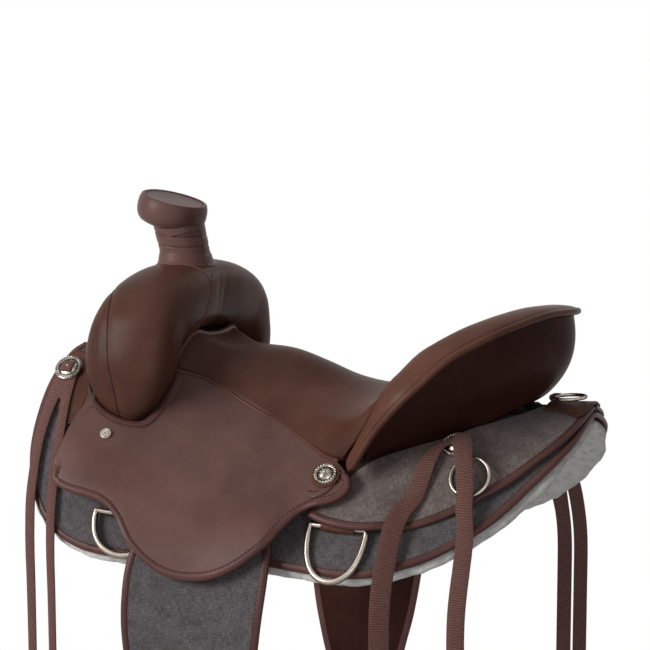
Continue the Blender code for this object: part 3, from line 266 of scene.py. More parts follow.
def addNode(tree, kind, settings=None, *values, **named):
    # a new node's outputs; values go to its first sockets in order, named to the others
    node = tree.nodes.new("ShaderNode" + kind)
    for key, value in (settings or {}).items():
        setattr(node, key, value)
    for key, value in [*enumerate(values), *named.items()]:
        if isinstance(value, bpy.types.NodeSocket):
            tree.links.new(value, node.inputs[key])
        else:
            node.inputs[key].default_value = value
    return node.outputs


def connect(tree, shader, sources):
    for socket, source in sources.items():
        tree.links.new(source, shader.inputs[socket])


def noiseNode(tree, at, scale, detail, rough, twist=0.0):
    return addNode(tree, "TexNoise", None, Vector=at, Scale=scale, Detail=detail, Roughness=rough,
                   Distortion=twist)[0]


def cellNode(tree, at, scale, smooth):
    return addNode(tree, "TexVoronoi", {"feature": "SMOOTH_F1"}, Vector=at, Scale=scale, Smoothness=smooth)[0]


def mathNode(tree, kind, *values):
    return addNode(tree, "Math", {"operation": kind}, *values)[0]


def addShare(tree, a, b, share):
    return mathNode(tree, "ADD", a, mathNode(tree, "MULTIPLY", b, share))


def ramp(tree, factor, places, colours):
    node = tree.nodes.new("ShaderNodeValToRGB")
    tree.links.new(factor, node.inputs[0])
    items = node.color_ramp.elements
    while len(items) < len(places):
        items.new(0.5)
    for item, at, colour in zip(items, places, colours):
        item.position = at
        item.color = (*colour, 1)
    return node.outputs[0]


def bump(tree, height, strength, distance, under=None):
    sockets = {"Height": height, "Strength": strength, "Distance": distance}
    if under is not None:
        sockets["Normal"] = under
    return addNode(tree, "Bump", None, **sockets)[0]


hide = {"patches": 11, "creases": 42, "hairs": 210, "pores": 620, "creaseDepth": 0.0016, "poreDepth": 0.0006}


def leatherMaterial(name, colours, rough=0.40, grain=0.22, scale=1.0, shine=0.17):
    mat, tree, shader = startMaterial(name, {"Specular IOR Level": 0.03, "Coat Weight": shine,
                                             "Coat Roughness": 0.34})
    at = addNode(tree, "TexCoord")["Object"]
    broad = noiseNode(tree, at, hide["patches"] * scale, 5, 0.55)
    hairs = noiseNode(tree, at, hide["hairs"] * scale, 7, 0.62)
    creases = noiseNode(tree, at, hide["creases"] * scale, 4, 0.5, 0.6)
    pores = cellNode(tree, at, hide["pores"] * scale, 0.35)
    gloss = addNode(tree, "MapRange", None, addShare(tree, hairs, broad, 0.7), 0.55, 1.15,
                    rough - 0.06, rough + 0.10)
    folded = bump(tree, creases, 0.10, hide["creaseDepth"])
    connect(tree, shader, {
        "Base Color": ramp(tree, addShare(tree, broad, hairs, 0.16), (0.36, 0.58, 0.80), colours),
        "Roughness": gloss[0],
        "Normal": bump(tree, addShare(tree, pores, hairs, 0.5), grain, hide["poreDepth"], folded),
    })
    return mat


weave = {"pitch": 0.0011, "stretch": 0.16, "patches": 60, "rough": 0.85, "depth": 0.0005}


def clothMaterial(name, colours):
    # a plain weave on the sheet's own UV, which is in metres
    mat, tree, shader = startMaterial(name, {"Specular IOR Level": 0.30, "Roughness": weave["rough"],
                                             "Sheen Weight": 0.18, "Sheen Roughness": 0.5})
    uv = addNode(tree, "UVMap", {"uv_map": "flat"})[0]
    short, long = 1 / weave["pitch"], weave["stretch"] / weave["pitch"]
    tones = []
    for scale in ((short, long, 1), (long, short, 1)):
        tones.append(noiseNode(tree, addNode(tree, "Mapping", None, Vector=uv, Scale=scale)[0], 1.0, 2, 0.6))
    part = addNode(tree, "SeparateXYZ", None, Vector=uv)
    waves = [mathNode(tree, "SINE", mathNode(tree, "MULTIPLY", part[axis], math.pi / weave["pitch"]))
             for axis in (0, 1)]
    check = mathNode(tree, "MULTIPLY", *waves)
    over = addNode(tree, "MapRange", None, check, -0.35, 0.35)[0]
    thread = addNode(tree, "Mix", {"data_type": "FLOAT"}, Factor=over, A=tones[0], B=tones[1])[0]
    tone = addShare(tree, thread, noiseNode(tree, uv, weave["patches"], 3, 0.6), 0.35)
    height = addShare(tree, mathNode(tree, "ABSOLUTE", check), thread, 0.8)
    connect(tree, shader, {"Base Color": ramp(tree, tone, (0.48, 0.66, 0.90), colours),
                           "Normal": bump(tree, height, 0.55, weave["depth"])})
    return mat


ribs = {"pitch": 0.0025, "fuzz": 700, "rough": 0.62, "depth": 0.0005}


def webbingMaterial(name, colours):
    # cross ribs on the strap's own UV
    mat, tree, shader = startMaterial(name, {"Specular IOR Level": 0.12, "Roughness": ribs["rough"],
                                             "Sheen Weight": 0.10, "Sheen Roughness": 0.4})
    uv = addNode(tree, "UVMap", {"uv_map": "flat"})[0]
    along = addNode(tree, "SeparateXYZ", None, Vector=uv)[1]
    rib = mathNode(tree, "SINE", mathNode(tree, "MULTIPLY", along, 2 * math.pi / ribs["pitch"]))
    fuzz = noiseNode(tree, uv, ribs["fuzz"], 4, 0.7)
    # the ribs are lighter on their crests and darker between them: painted light and shade
    tone = addShare(tree, fuzz, rib, 0.11)
    connect(tree, shader, {"Base Color": ramp(tree, tone, (0.34, 0.52, 0.70), colours),
                           "Normal": bump(tree, addShare(tree, rib, fuzz, 0.4), 0.6, ribs["depth"])})
    return mat


def woolMaterial(name, colours):
    mat, tree, shader = startMaterial(name, {"Specular IOR Level": 0.15, "Roughness": 0.95,
                                             "Sheen Weight": 0.35, "Sheen Roughness": 0.6})
    at = addNode(tree, "TexCoord")["Object"]
    height = addShare(tree, noiseNode(tree, at, 170, 6, 0.72, 1.6), cellNode(tree, at, 85, 0.7), 0.8)
    # the colour follows the pile's height, darker in its hollows: painted shade in the pile
    connect(tree, shader, {"Base Color": ramp(tree, height, (0.45, 0.75, 1.0), colours),
                           "Normal": bump(tree, height, 0.8, 0.003)})
    return mat


def metalMaterial(name, colours, rough=0.22, worn=0.25):
    mat, tree, shader = startMaterial(name, {"Metallic": 1.0, "Specular Tint": (0.16, 0.14, 0.12, 1)})
    at = addNode(tree, "TexCoord")["Object"]
    blotch = noiseNode(tree, at, 95, 5, 0.6)
    gloss = addNode(tree, "MapRange", None, blotch, 0.3, 0.7, rough + 0.10, rough - 0.04)
    connect(tree, shader, {"Base Color": ramp(tree, blotch, (worn, worn + 0.22), colours),
                           "Roughness": gloss[0],
                           "Normal": bump(tree, noiseNode(tree, at, 900, 3, 0.7), 0.03, 0.0002)})
    return mat


def woodMaterial(name, colours):
    mat, tree, shader = startMaterial(name, {"Specular IOR Level": 0.35, "Roughness": 0.55})
    at = addNode(tree, "TexCoord")["Object"]
    stretched = addNode(tree, "Mapping", None, Vector=at, Scale=(14, 120, 120))[0]
    grain = noiseNode(tree, stretched, 1.0, 6, 0.6, 0.4)
    connect(tree, shader, {"Base Color": ramp(tree, grain, (0.35, 0.62), colours),
                           "Normal": bump(tree, grain, 0.2, 0.0006)})
    return mat


mats = {
    "seat": leatherMaterial("smoothLeather", finish["leather"]),
    "saddle": leatherMaterial("saddleLeatherPaintedShade", finish["saddle"], shine=0.11),
    "flap": leatherMaterial("flapLeatherPaintedSheen", finish["flap"], grain=0.20, shine=0.20),
    "binding": leatherMaterial("bindingLeather", finish["binding"], 0.46, 0.30, 1.2, 0.28),
    "dark": leatherMaterial("darkLeather", finish["dark"], 0.44, 0.28, shine=0.06),
    "warm": leatherMaterial("seamLeather", finish["seam"], 0.5),
    "thread": leatherMaterial("waxedThread", finish["thread"], 0.6, 0.4, 2.0),
    "cloth": clothMaterial("wovenNylon", finish["cloth"]),
    "litCloth": clothMaterial("wovenNylonRearPaintedLight", finish["litCloth"]),
    "webbing": webbingMaterial("nylonWebbing", finish["webbing"]),
    "wool": woolMaterial("fleecePile", finish["wool"]),
    "wood": woodMaterial("treeWoodDarkAsGapShade", finish["wood"]),
    "steel": metalMaterial("stainlessSteel", finish["steel"]),
    "silver": metalMaterial("antiquedSilver", finish["silver"], 0.26, 0.38),
    "enamel": metalMaterial("blackenedRecessAndSlitShade", finish["recess"], 0.5, 0.4),
}
print("materials made")


def place(name, bm, materials, body, stands=(), angle=40, clean=True):
    # a finished bmesh becomes a piece that rides on a body
    if clean:
        bmesh.ops.remove_doubles(bm, verts=bm.verts, dist=0.00001)
        bmesh.ops.recalc_face_normals(bm, faces=bm.faces)
    mesh = bpy.data.meshes.new(name)
    bm.to_mesh(mesh)
    bm.free()
    for key in materials if isinstance(materials, (list, tuple)) else [materials]:
        mesh.materials.append(mats[key])
    for face in mesh.polygons:
        face.use_smooth = True
    mesh.set_sharp_from_angle(angle=math.radians(angle))
    piece = bpy.data.objects.new(name, mesh)
    scene.collection.objects.link(piece)
    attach(piece, body)
    if stands:
        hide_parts(*stands)
    return piece


def flatUv(bm, spot):
    # a UV named flat, worked out from each corner's place
    layer = bm.loops.layers.uv.new("flat")
    for face in bm.faces:
        for loop in face.loops:
            loop[layer].uv = spot(loop.vert.co)


def mappedGrid(countU, countV, where):
    # a grid whose points are moved to where(u, v), u and v from 0 to 1, with a UV in the same shares
    bm = bmesh.new()
    bmesh.ops.create_grid(bm, x_segments=countU, y_segments=countV, size=0.5)
    flatUv(bm, lambda co: (co.x + 0.5, co.y + 0.5))
    for vert in bm.verts:
        vert.co = where(vert.co.x + 0.5, vert.co.y + 0.5)
    return bm


def edgeDistance(outline, spots):
    # how far flat spots lie from a closed outline
    start = np.array(outline)
    way = np.roll(start, -1, 0) - start
    away = np.array(spots)[:, None, :] - start[None]
    share = np.clip((away * way).sum(2) / np.maximum((way * way).sum(1), 1e-12), 0.0, 1.0)
    return np.linalg.norm(away - share[..., None] * way, axis=2).min(1)


def within(outline, spots):
    # which flat spots lie inside a closed outline
    one = np.array(outline)
    two = np.roll(one, -1, 0)
    x, y = np.array(spots)[:, 0:1], np.array(spots)[:, 1:2]
    rise = two[:, 1] - one[:, 1]
    at = one[:, 0] + (y - one[:, 1]) / np.where(abs(rise) < 1e-9, 1e-9, rise) * (two[:, 0] - one[:, 0])
    return (((one[:, 1] > y) != (two[:, 1] > y)) & (x < at)).sum(1) % 2 == 1


def handOf(outline):
    # 1 where a closed outline runs anticlockwise, -1 where it runs clockwise
    area = sum(a[0] * b[1] - b[0] * a[1] for a, b in zip(outline, outline[1:] + outline[:1]))
    return 1 if area > 0 else -1


def insetRing(outline, depth):
    # the outline moved inward; points that would cross over are left out
    hand = handOf(outline)
    spots = []
    for i, here in enumerate(outline):
        before, after = outline[i - 1], outline[(i + 1) % len(outline)]
        one = Vector((before[1] - here[1], here[0] - before[0])).normalized() * hand
        two = Vector((here[1] - after[1], after[0] - here[0])).normalized() * hand
        spots.append(Vector(here) + (one + two) * depth / max(0.12, 1 + one.dot(two)))
    far = edgeDistance(outline, spots)
    inner = within(outline, spots)
    return [spot for spot, f, i in zip(spots, far, inner) if i and f > 0.985 * depth]


def layInPattern(outline, rings, step):
    # a flat sheet with rings set in from its edge, each (width, rise, material), and small faces inside
    edge = []
    for a, b in zip(outline, outline[1:] + outline[:1]):
        count = max(1, math.ceil((Vector(b) - Vector(a)).length / (0.6 * step)))
        edge += [Vector(a).lerp(Vector(b), k / count) for k in range(count)]
    depths = [0.0]
    for ring in rings[1:]:
        depths.append(depths[-1] + ring[0])
    loops = [insetRing(edge, depth) for depth in depths[1:]]
    spots, lines = [], []
    for loop in [edge] + loops:
        first = len(spots)
        spots += loop
        lines += [(first + k, first + (k + 1) % len(loop)) for k in range(len(loop))]
    low = [min(p[k] for p in edge) for k in (0, 1)]
    high = [max(p[k] for p in edge) for k in (0, 1)]
    rowShare = 0.87  # rows of a triangular pattern lie closer than its points
    grid = [Vector((i * step + 0.5 * step * (j % 2), j * step * rowShare))
            for i in range(math.floor(low[0] / step), math.ceil(high[0] / step))
            for j in range(math.floor(low[1] / step / rowShare), math.ceil(high[1] / step / rowShare))]
    kept = within(edge, grid) & (edgeDistance(edge, grid) > depths[-1] + 0.35 * step)
    spots += [spot for spot, keep in zip(grid, kept) if keep]
    verts, _, faces, _, _, _ = delaunay_2d_cdt(spots, lines, [list(range(len(edge)))], 1, 0.000001)
    bm = bmesh.new()
    rise = bm.verts.layers.float.new("rise")
    heights = np.interp(edgeDistance(edge, verts), depths, [ring[1] for ring in rings])
    made = [bm.verts.new((vert.x, vert.y, 0)) for vert in verts]
    for vert, height in zip(made, heights):
        vert[rise] = height
    middles = [sum((verts[i] for i in face), Vector((0, 0))) / len(face) for face in faces]
    for corners, far in zip(faces, edgeDistance(edge, middles)):
        face = bm.faces.new([made[i] for i in corners])
        k = sum(1 for depth in depths[1:] if far > depth)
        face.material_index = rings[k + 1][2] if k + 1 < len(rings) else 0
    bmesh.ops.delete(bm, geom=[vert for vert in bm.verts if not vert.link_faces], context="VERTS")
    flatUv(bm, lambda co: co.xy)
    return bm, loops


def laySheet(outline, rings, step, low, high, mapper, under=None, mask=None):
    # the pattern is given its under side, and both sides are laid on the surface
    bm, loops = layInPattern(outline, rings, step)
    rise = bm.verts.layers.float["rise"]
    if mask:
        for face in bm.faces:
            middle = face.calc_center_median()
            if face.material_index == 1 and mask(middle.x, middle.y) < 0.5:
                face.material_index = 0
    made = bmesh.ops.extrude_face_region(bm, geom=bm.faces[:], use_keep_orig=True)
    lower = set(e for e in made["geom"] if isinstance(e, bmesh.types.BMVert))
    if under is not None:
        for face in made["geom"]:
            if isinstance(face, bmesh.types.BMFace) and face.material_index == 0:
                face.material_index = under
    for vert in bm.verts:
        x, v = vert.co.x, vert.co.y
        share = mask(x, v) if mask else 1.0
        if vert in lower:
            vert.co = mapper(x, v, low(x, v) - min(0.0, vert[rise]) * 0.6)
        else:
            vert.co = mapper(x, v, high(x, v) + vert[rise] * share)
    return bm, loops


def onBack(side):
    return lambda x, v, lift: backPoint(x, v, lift, side)


# rings from a sheet's edge inward: (width, rise, material index)
bindRings = [(0, -0.0013, 1), (0.0010, 0.0003, 1), (0.0030, 0.0011, 1), (0.0038, 0.0009, 1),
             (0.0008, -0.0002, 1), (0.0030, 0.0, 0)]
rawRings = [(0, -0.0010, 0), (0.0009, 0.0, 0), (0.0020, 0.0, 0)]
stitch = {"pitch": 0.0048, "length": 0.0036, "thick": 0.0009, "sink": 0.0001, "onBinding": 0.0009}


def resample(points, pitch):
    # points evenly spaced along a closed flat path, with the direction at each
    points = [Vector(p) for p in points]
    out = []
    need = pitch / 2
    for a, b in zip(points, points[1:] + points[:1]):
        length = (b - a).length
        while need <= length and length > 1e-9:
            out.append((a.lerp(b, need / length), (b - a) / length))
            need += pitch
        need -= length
    return out


def bead(bm, matrix, halves, fineness=(6, 4)):
    # an ellipsoid with the given half axes
    bmesh.ops.create_uvsphere(bm, u_segments=fineness[0], v_segments=fineness[1], radius=1,
                              matrix=matrix @ Matrix.Diagonal((*halves, 1)))


def sewRow(name, body, path, mapper, lift, keep=None):
    # a row of stitches, each a small rounded grain lying along the path
    halves = (stitch["length"] / 2, stitch["thick"] / 2, stitch["thick"] / 2)
    bm = bmesh.new()
    for here, way in resample(path, stitch["pitch"]):
        if keep and not keep(here.x, here.y):
            continue
        level = lift(here.x, here.y) + stitch["sink"]
        centre = mapper(here.x, here.y, level)
        ahead = (mapper(here.x + way.x * 0.001, here.y + way.y * 0.001, level) - centre).normalized()
        up = (mapper(here.x, here.y, level + 0.001) - centre).normalized()
        across = up.cross(ahead).normalized()
        turn = Matrix((ahead, across, ahead.cross(across))).transposed().to_4x4()
        bead(bm, Matrix.Translation(centre) @ turn, halves)
    place(name, bm, "thread", body)


def pipeMesh(points, radius, closed=False, sides=10):
    # a round cord of leather through points, as a bmesh
    line = bpy.data.curves.new("line", "CURVE")
    line.dimensions = "3D"
    line.bevel_depth = radius
    line.bevel_resolution = sides // 2 - 1
    line.use_fill_caps = not closed
    spline = line.splines.new("POLY")
    spline.points.add(len(points) - 1)
    for point, at in zip(spline.points, points):
        point.co = (*at, 1)
    spline.use_cyclic_u = closed
    holder = bpy.data.objects.new("line", line)
    scene.collection.objects.link(holder)
    bpy.context.view_layer.update()
    mesh = bpy.data.meshes.new_from_object(holder.evaluated_get(bpy.context.evaluated_depsgraph_get()))
    bm = bmesh.new()
    bm.from_mesh(mesh)
    bpy.data.objects.remove(holder)
    bpy.data.curves.remove(line)
    bpy.data.meshes.remove(mesh)
    return bm


def joinMesh(bm, other, index=0):
    # other is copied into bm with a material index
    mesh = bpy.data.meshes.new("part")
    for face in other.faces:
        face.material_index = index
    other.to_mesh(mesh)
    other.free()
    bm.from_mesh(mesh)
    bpy.data.meshes.remove(mesh)


def turned(profile, matrix, steps=36):
    # a turned piece: (radius, height) rows spun about the matrix's z axis
    bm = bmesh.new()
    verts = [bm.verts.new((r, 0, h)) for r, h in profile]
    edges = [bm.edges.new(pair) for pair in zip(verts, verts[1:])]
    bmesh.ops.spin(bm, geom=verts + edges, cent=(0, 0, 0), axis=(0, 0, 1), angle=2 * math.pi, steps=steps,
                   use_merge=True)
    bmesh.ops.remove_doubles(bm, verts=bm.verts, dist=0.00001)
    bmesh.ops.transform(bm, matrix=matrix, verts=bm.verts)
    bmesh.ops.recalc_face_normals(bm, faces=bm.faces)
    return bm


def axesMatrix(here, along, down, out):
    turn = Matrix((along, down, out)).transposed()
    if turn.determinant() < 0:
        turn = Matrix((-along, down, out)).transposed()
    return Matrix.Translation(here) @ turn.to_4x4()


def refined(node, grow=0.0):
    # a copy of a CAD node's mesh, merged, in quads and swelled by grow
    bm = bmesh.new()
    bm.from_mesh(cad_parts[node].data)
    bmesh.ops.remove_doubles(bm, verts=bm.verts, dist=0.00002)
    bmesh.ops.join_triangles(bm, faces=bm.faces, angle_face_threshold=math.radians(40),
                             angle_shape_threshold=math.radians(60))
    bmesh.ops.recalc_face_normals(bm, faces=bm.faces)
    if grow:
        for vert in bm.verts:
            vert.co += vert.normal * grow
    return bm


def softened(piece, levels):
    mod = piece.modifiers.new("smooth", "SUBSURF")
    mod.levels = levels
    mod.render_levels = levels
    return piece


def wrinkle(bm, amount, size, seed=0.0):
    # small unevenness of hand-worked leather, along the normals
    bm.normal_update()
    for vert in bm.verts:
        vert.co += vert.normal * amount * noise.noise(vert.co * size + Vector((seed, seed, seed)))


def thicken(piece, amount):
    mod = piece.modifiers.new("thick", "SOLIDIFY")
    mod.thickness = amount
    mod.offset = -1
    return piece


def rounded(piece, width, segments=2):
    mod = piece.modifiers.new("round", "BEVEL")
    mod.width = width
    mod.segments = segments
    mod.limit_method = "ANGLE"
    return piece


def faceUp(bm, test):
    # open sheets: most normals to the side where test(face) is above 0
    bmesh.ops.recalc_face_normals(bm, faces=bm.faces)
    wrong = sum(1 if test(face) < 0 else -1 for face in bm.faces)
    if wrong > 0:
        bmesh.ops.reverse_faces(bm, faces=bm.faces)


def onSkin(tree, points, lift):
    # the points moved on to a skin's nearest face, and lift above it
    out = []
    for point in points:
        hit = tree.find_nearest(Vector(point))
        out.append(hit[0] + hit[1] * lift)
    return out


def fill(points, pitch):
    # more points on a smooth curve through the given ones
    points = [Vector(p) for p in points]
    out = []
    for i in range(len(points) - 1):
        p0 = points[max(i - 1, 0)]
        p1, p2 = points[i], points[i + 1]
        p3 = points[min(i + 2, len(points) - 1)]
        count = max(1, round((p2 - p1).length / pitch))
        for j in range(count):
            t = j / count
            out.append(0.5 * (2 * p1 + (p2 - p0) * t + (2 * p0 - 5 * p1 + 4 * p2 - p3) * t * t
                              + (3 * p1 - p0 - 3 * p2 + p3) * t ** 3))
    return out + [points[-1]]


def crease(bm, path, width, depth):
    # presses a soft groove into a skin along a path
    bm.normal_update()
    for vert in bm.verts:
        distance = min((vert.co - p).length for p in path)
        if distance < width:
            vert.co -= vert.normal * depth * (1 - distance / width) ** 2


# tree parts that the leather covers keep their solids; the wood is made very dark, painted shade where it
# shows through gaps between the leathers
hidden = {"tree_bar_near": "wood", "tree_bar_off": "wood", "tree_fork": "wood", "tree_cantle": "wood",
          "horn_post": "steel", "ground_seat": "dark"}
for node, key in hidden.items():
    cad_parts[node].data.materials.clear()
    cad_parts[node].data.materials.append(mats[key])

# the fork's cover, with a dart down each swell and a seam from the neck; a groove is (width, depth)
fork = {
    "rows": [(0.00, -0.197, 0.126, -0.066, 0.026, 0.035), (0.14, -0.195, 0.122, -0.050, 0.034, 0.047),
             (0.32, -0.191, 0.113, -0.025, 0.043, 0.056), (0.52, -0.187, 0.092, -0.002, 0.048, 0.060),
             (0.76, -0.184, 0.050, 0.013, 0.048, 0.060), (1.00, -0.183, 0.000, 0.018, 0.047, 0.057)],
    "skin": 0.0035, "foot": barTop + 4 * clear, "dart": (0.010, 0.0020), "groove": (0.004, 0.0006),
    "fold": (0.008, 0.0011), "seam": 0.00075, "pitch": 0.003,
}
dartPath = [(-0.2360, -0.098, 0.1560), (-0.2185, -0.1196, 0.1413), (-0.2106, -0.1424, 0.1211),
            (-0.2056, -0.1552, 0.0880), (-0.2018, -0.1566, 0.0652), (-0.1964, -0.1573, 0.0446),
            (-0.1913, -0.1553, 0.0178), (-0.190, -0.150, 0.004)]
neckPath = [(-0.2150, -0.0250, 0.1790), (-0.2020, -0.0330, 0.1790), (-0.1868, -0.0345, 0.1790),
            (-0.1700, -0.0335, 0.1775), (-0.1560, -0.0310, 0.1730), (-0.1439, -0.0320, 0.1677),
            (-0.1369, -0.0325, 0.1583), (-0.1324, -0.0357, 0.1482), (-0.1328, -0.0402, 0.1367),
            (-0.1349, -0.0466, 0.1195), (-0.1400, -0.0520, 0.1020)]
middlePath = [(-0.1520, 0.0040, 0.1755), (-0.1424, -0.0154, 0.1670), (-0.1350, -0.0280, 0.1580),
              (-0.1326, -0.0350, 0.1490)]
foldPaths = [[(-0.1411, 0.0014, 0.1653), (-0.1332, -0.0139, 0.1457), (-0.1368, -0.0127, 0.1212)],
             [(-0.1397, 0.0140, 0.1629), (-0.1338, 0.0010, 0.1441), (-0.1348, -0.0035, 0.1263)]]


def forkPoint(s, turn, grow):
    t = 1 - abs(s)
    sign = -1 if s < 0 else 1
    cx, cy, cz, radial, half = rowCurve(fork["rows"], t)
    before, after = rowCurve(fork["rows"], max(0.0, t - 0.02)), rowCurve(fork["rows"], min(1.0, t + 0.02))
    path = Vector((0, after[1] - before[1], after[2] - before[2])).normalized()
    outward = Vector((0, path.z, -path.y))
    if outward.z < 0 and t > 0.3 or outward.y < 0:
        outward = -outward
    outward = outward.lerp(Vector((0, 0, 1)), ease(0.80, 1.0, t)).normalized()
    ca, sa = math.cos(turn), math.sin(turn)
    slim = 1 - 0.40 * ease(0.15, 0.55, t) * (1 - sa) / 2
    px = math.copysign(abs(ca) ** 0.82, ca) * (half + grow) * slim
    inner = 1 - 0.38 * ease(0.0, 0.32, t) if sa < 0 else 1.0
    pr = math.copysign(abs(sa) ** 0.82, sa) * (radial * inner + grow)
    point = Vector((cx + px, cy, cz + treeLift)) + outward * pr
    sink = 1 - ease(0.0, 0.42, t)
    if sink > 0:
        foot = backHeight(cx, cy, fork["foot"])
        rest = backHeight(point.x, point.y, fork["foot"]) - foot
        centre = cz + treeLift if t > 0 else foot
        point.z = mix(point.z, centre + rest, sink)
    point.y *= sign
    return point


bm = mappedGrid(110, 72, lambda u, v: forkPoint(-1 + 2 * u, 2 * math.pi * v, clear + fork["skin"]))
bmesh.ops.remove_doubles(bm, verts=bm.verts, dist=0.00005)
faceUp(bm, lambda face: face.normal.z if face.calc_center_median().z > treeLift + 0.04 else 0)
skin = BVHTree.FromBMesh(bm)
seamPaths = {"dart_" + word: [(x, abs(y) * side, z) for x, y, z in dartPath] for word, side in sides}
seamPaths |= {"neck": neckPath, "middle": middlePath}
seams = {key: onSkin(skin, fill(path, fork["pitch"]), 0.0) for key, path in seamPaths.items()}
for key, path in seams.items():
    crease(bm, path, *fork["dart" if "dart" in key else "groove"])
for path in foldPaths:
    crease(bm, onSkin(skin, fill(path, fork["pitch"]), 0.0), *fork["fold"])
wrinkle(bm, 0.0005, 26)
skin = BVHTree.FromBMesh(bm)
# the fork's cover takes the darker saddle colour, painted shade
thicken(place("fork_leather", bm, "saddle", "saddle", ["fork_cover"], 60, False), fork["skin"])
for key, path in seams.items():
    place("seam_" + key, pipeMesh(onSkin(skin, path, 0.0001), fork["seam"]),
          "thread" if "dart" in key else "warm", "saddle")
print("fork covered")

# horn: the wound neck and the cap
horn = {"x": -0.185, "forkTop": treeLift + 0.066, "neck": 0.027, "skin": 0.0012, "flare": 0.0035,
        "tilt": math.radians(14), "capLow": 0.017, "centre": Vector((-0.204, 0, treeLift + 0.127)),
        "topShift": 0.0125, "footRise": 0.0057, "topRise": 0.0030, "topSlope": 0.0060, "overFork": 0.0006}
capNormal = Vector((math.sin(horn["tilt"]), 0, math.cos(horn["tilt"])))
capAcross = Vector((math.cos(horn["tilt"]), 0, -math.sin(horn["tilt"])))
capMatrix = axesMatrix(horn["centre"], capAcross, Vector((0, 1, 0)), capNormal)
postTop = horn["centre"] - capNormal * (horn["capLow"] + clear)
# how far the wound leather stands out, with a groove at each turn
wrapRows = [(0.0, 0.0085), (0.05, 0.0048), (0.12, 0.0024), (0.22, 0.0015), (0.34, 0.0013), (0.365, 0.0004),
            (0.39, 0.0012), (0.52, 0.0013), (0.64, 0.0011), (0.665, 0.0002), (0.69, 0.0011), (0.86, 0.0012),
            (0.93, 0.0012), (1.0, 0.0010)]


def neckPoint(t, turn):
    radius = horn["neck"] + horn["skin"] + horn["flare"] * t + rowCurve(wrapRows, t)[0]
    tilt = horn["tilt"] * t
    x = mix(horn["x"], postTop.x + horn["topShift"], t)
    top = postTop.z + horn["topRise"] + horn["topSlope"] * max(0.0, math.cos(turn))
    z = mix(horn["forkTop"] + horn["footRise"], top, t)
    here = Vector((x + radius * math.cos(turn) * math.cos(tilt), radius * math.sin(turn),
                   z - radius * math.cos(turn) * math.sin(tilt)))
    if t < 0.10:
        hit = skin.ray_cast(Vector((here.x, here.y, horn["forkTop"] + 0.05)), Vector((0, 0, -1)))
        floor = (hit[0].z if hit[0] else here.z) + horn["overFork"]
        here.z = mix(floor, max(here.z, floor), ease(0.0, 0.10, t))
    return here


def outOfNeck(face):
    middle = face.calc_center_median()
    return (middle - Vector((horn["x"], 0, middle.z))).dot(face.normal)


bm = mappedGrid(64, 60, lambda u, v: neckPoint(v, 2 * math.pi * u))
bmesh.ops.remove_doubles(bm, verts=bm.verts, dist=0.00005)
faceUp(bm, outOfNeck)
wrinkle(bm, 0.0005, 60, 3.0)
neckSkin = BVHTree.FromBMesh(bm)
# the wound neck, its edges and the cap take the flap colour with its painted sheen
thicken(place("horn_wrap_leather", bm, "flap", "saddle", ["horn_wrap"], 60, False), 0.003)
wrapEnd = [neckPoint(0.62 + 0.26 * ease(0, 1, k / 24), math.radians(-118 + 105 * k / 24)) for k in range(25)]
backEdge = [neckPoint(0.03 + 0.94 * k / 24, math.radians(-14 + 6 * math.sin(k / 8))) for k in range(25)]
for name, path, radius in (("wrap_end", wrapEnd, 0.0011), ("wrap_edge", backEdge, 0.0013)):
    place(name, pipeMesh(onSkin(neckSkin, path, 0.0002), radius), "flap", "saddle")
for name, level in (("wrap_line_low", 0.365), ("wrap_line_high", 0.665)):
    line = [neckPoint(level, 2 * math.pi * k / 48) for k in range(48)]
    place(name, pipeMesh(onSkin(neckSkin, line, 0.0001), 0.0005, True), "binding", "saddle")
capProfile = [(0, 0.0142), (0.012, 0.0143), (0.026, 0.0145), (0.0345, 0.0147), (0.0366, 0.0150),
              (0.0376, 0.0158), (0.0390, 0.0160), (0.0402, 0.0152), (0.0407, 0.0138), (0.0414, 0.0120),
              (0.0422, 0.0085), (0.0426, 0.0035), (0.0425, -0.0020), (0.0416, -0.0070), (0.0396, -0.0115),
              (0.0365, -0.0148), (0.0325, -0.0168), (0.0270, -0.0172), (0.0, -0.0172)]
bm = turned(capProfile, capMatrix, 72)
wrinkle(bm, 0.0004, 45, 7.0)
place("horn_cap_leather", bm, "flap", "saddle", ["horn_cap"], 60)
capStitch = {"count": 54, "radius": 0.0352, "height": 0.0149, "halves": (0.00045, 0.0016, 0.0004)}
bm = bmesh.new()
for k in range(capStitch["count"]):
    turn = Matrix.Rotation(2 * math.pi * k / capStitch["count"], 4, "Z")
    spot = Matrix.Translation((capStitch["radius"], 0, capStitch["height"]))
    bead(bm, capMatrix @ turn @ spot, capStitch["halves"])
place("cap_stitches", bm, "thread", "saddle")
print("horn made")

# seat, from the fork to the crest of the cantle
seamRows = [(0.00, -0.157, 0.078), (0.12, -0.118, 0.064), (0.30, -0.066, 0.069), (0.48, -0.017, 0.085),
            (0.66, 0.030, 0.112), (0.82, 0.068, 0.133), (1.00, 0.096, 0.141)]
middleRows = [(0.00, -0.143, -0.018), (0.12, -0.098, -0.027), (0.26, -0.045, -0.030), (0.38, 0.000, -0.043),
              (0.48, 0.040, -0.058), (0.58, 0.080, -0.065), (0.66, 0.115, -0.063), (0.76, 0.158, -0.047),
              (0.86, 0.200, -0.015), (0.94, 0.231, 0.010), (1.00, 0.254, 0.028)]
crestRows = [(-0.17, 0.251, -0.045, 0.034), (0.0, 0.260, 0.0, 0.033), (0.17, 0.251, 0.045, 0.034),
             (0.34, 0.231, 0.088, 0.028), (0.48, 0.208, 0.119, 0.016), (0.58, 0.184, 0.140, 0.000),
             (0.66, 0.166, 0.151, -0.020), (0.74, 0.149, 0.159, -0.040), (0.86, 0.124, 0.155, -0.082),
             (1.0, 0.098, 0.146, -0.124)]
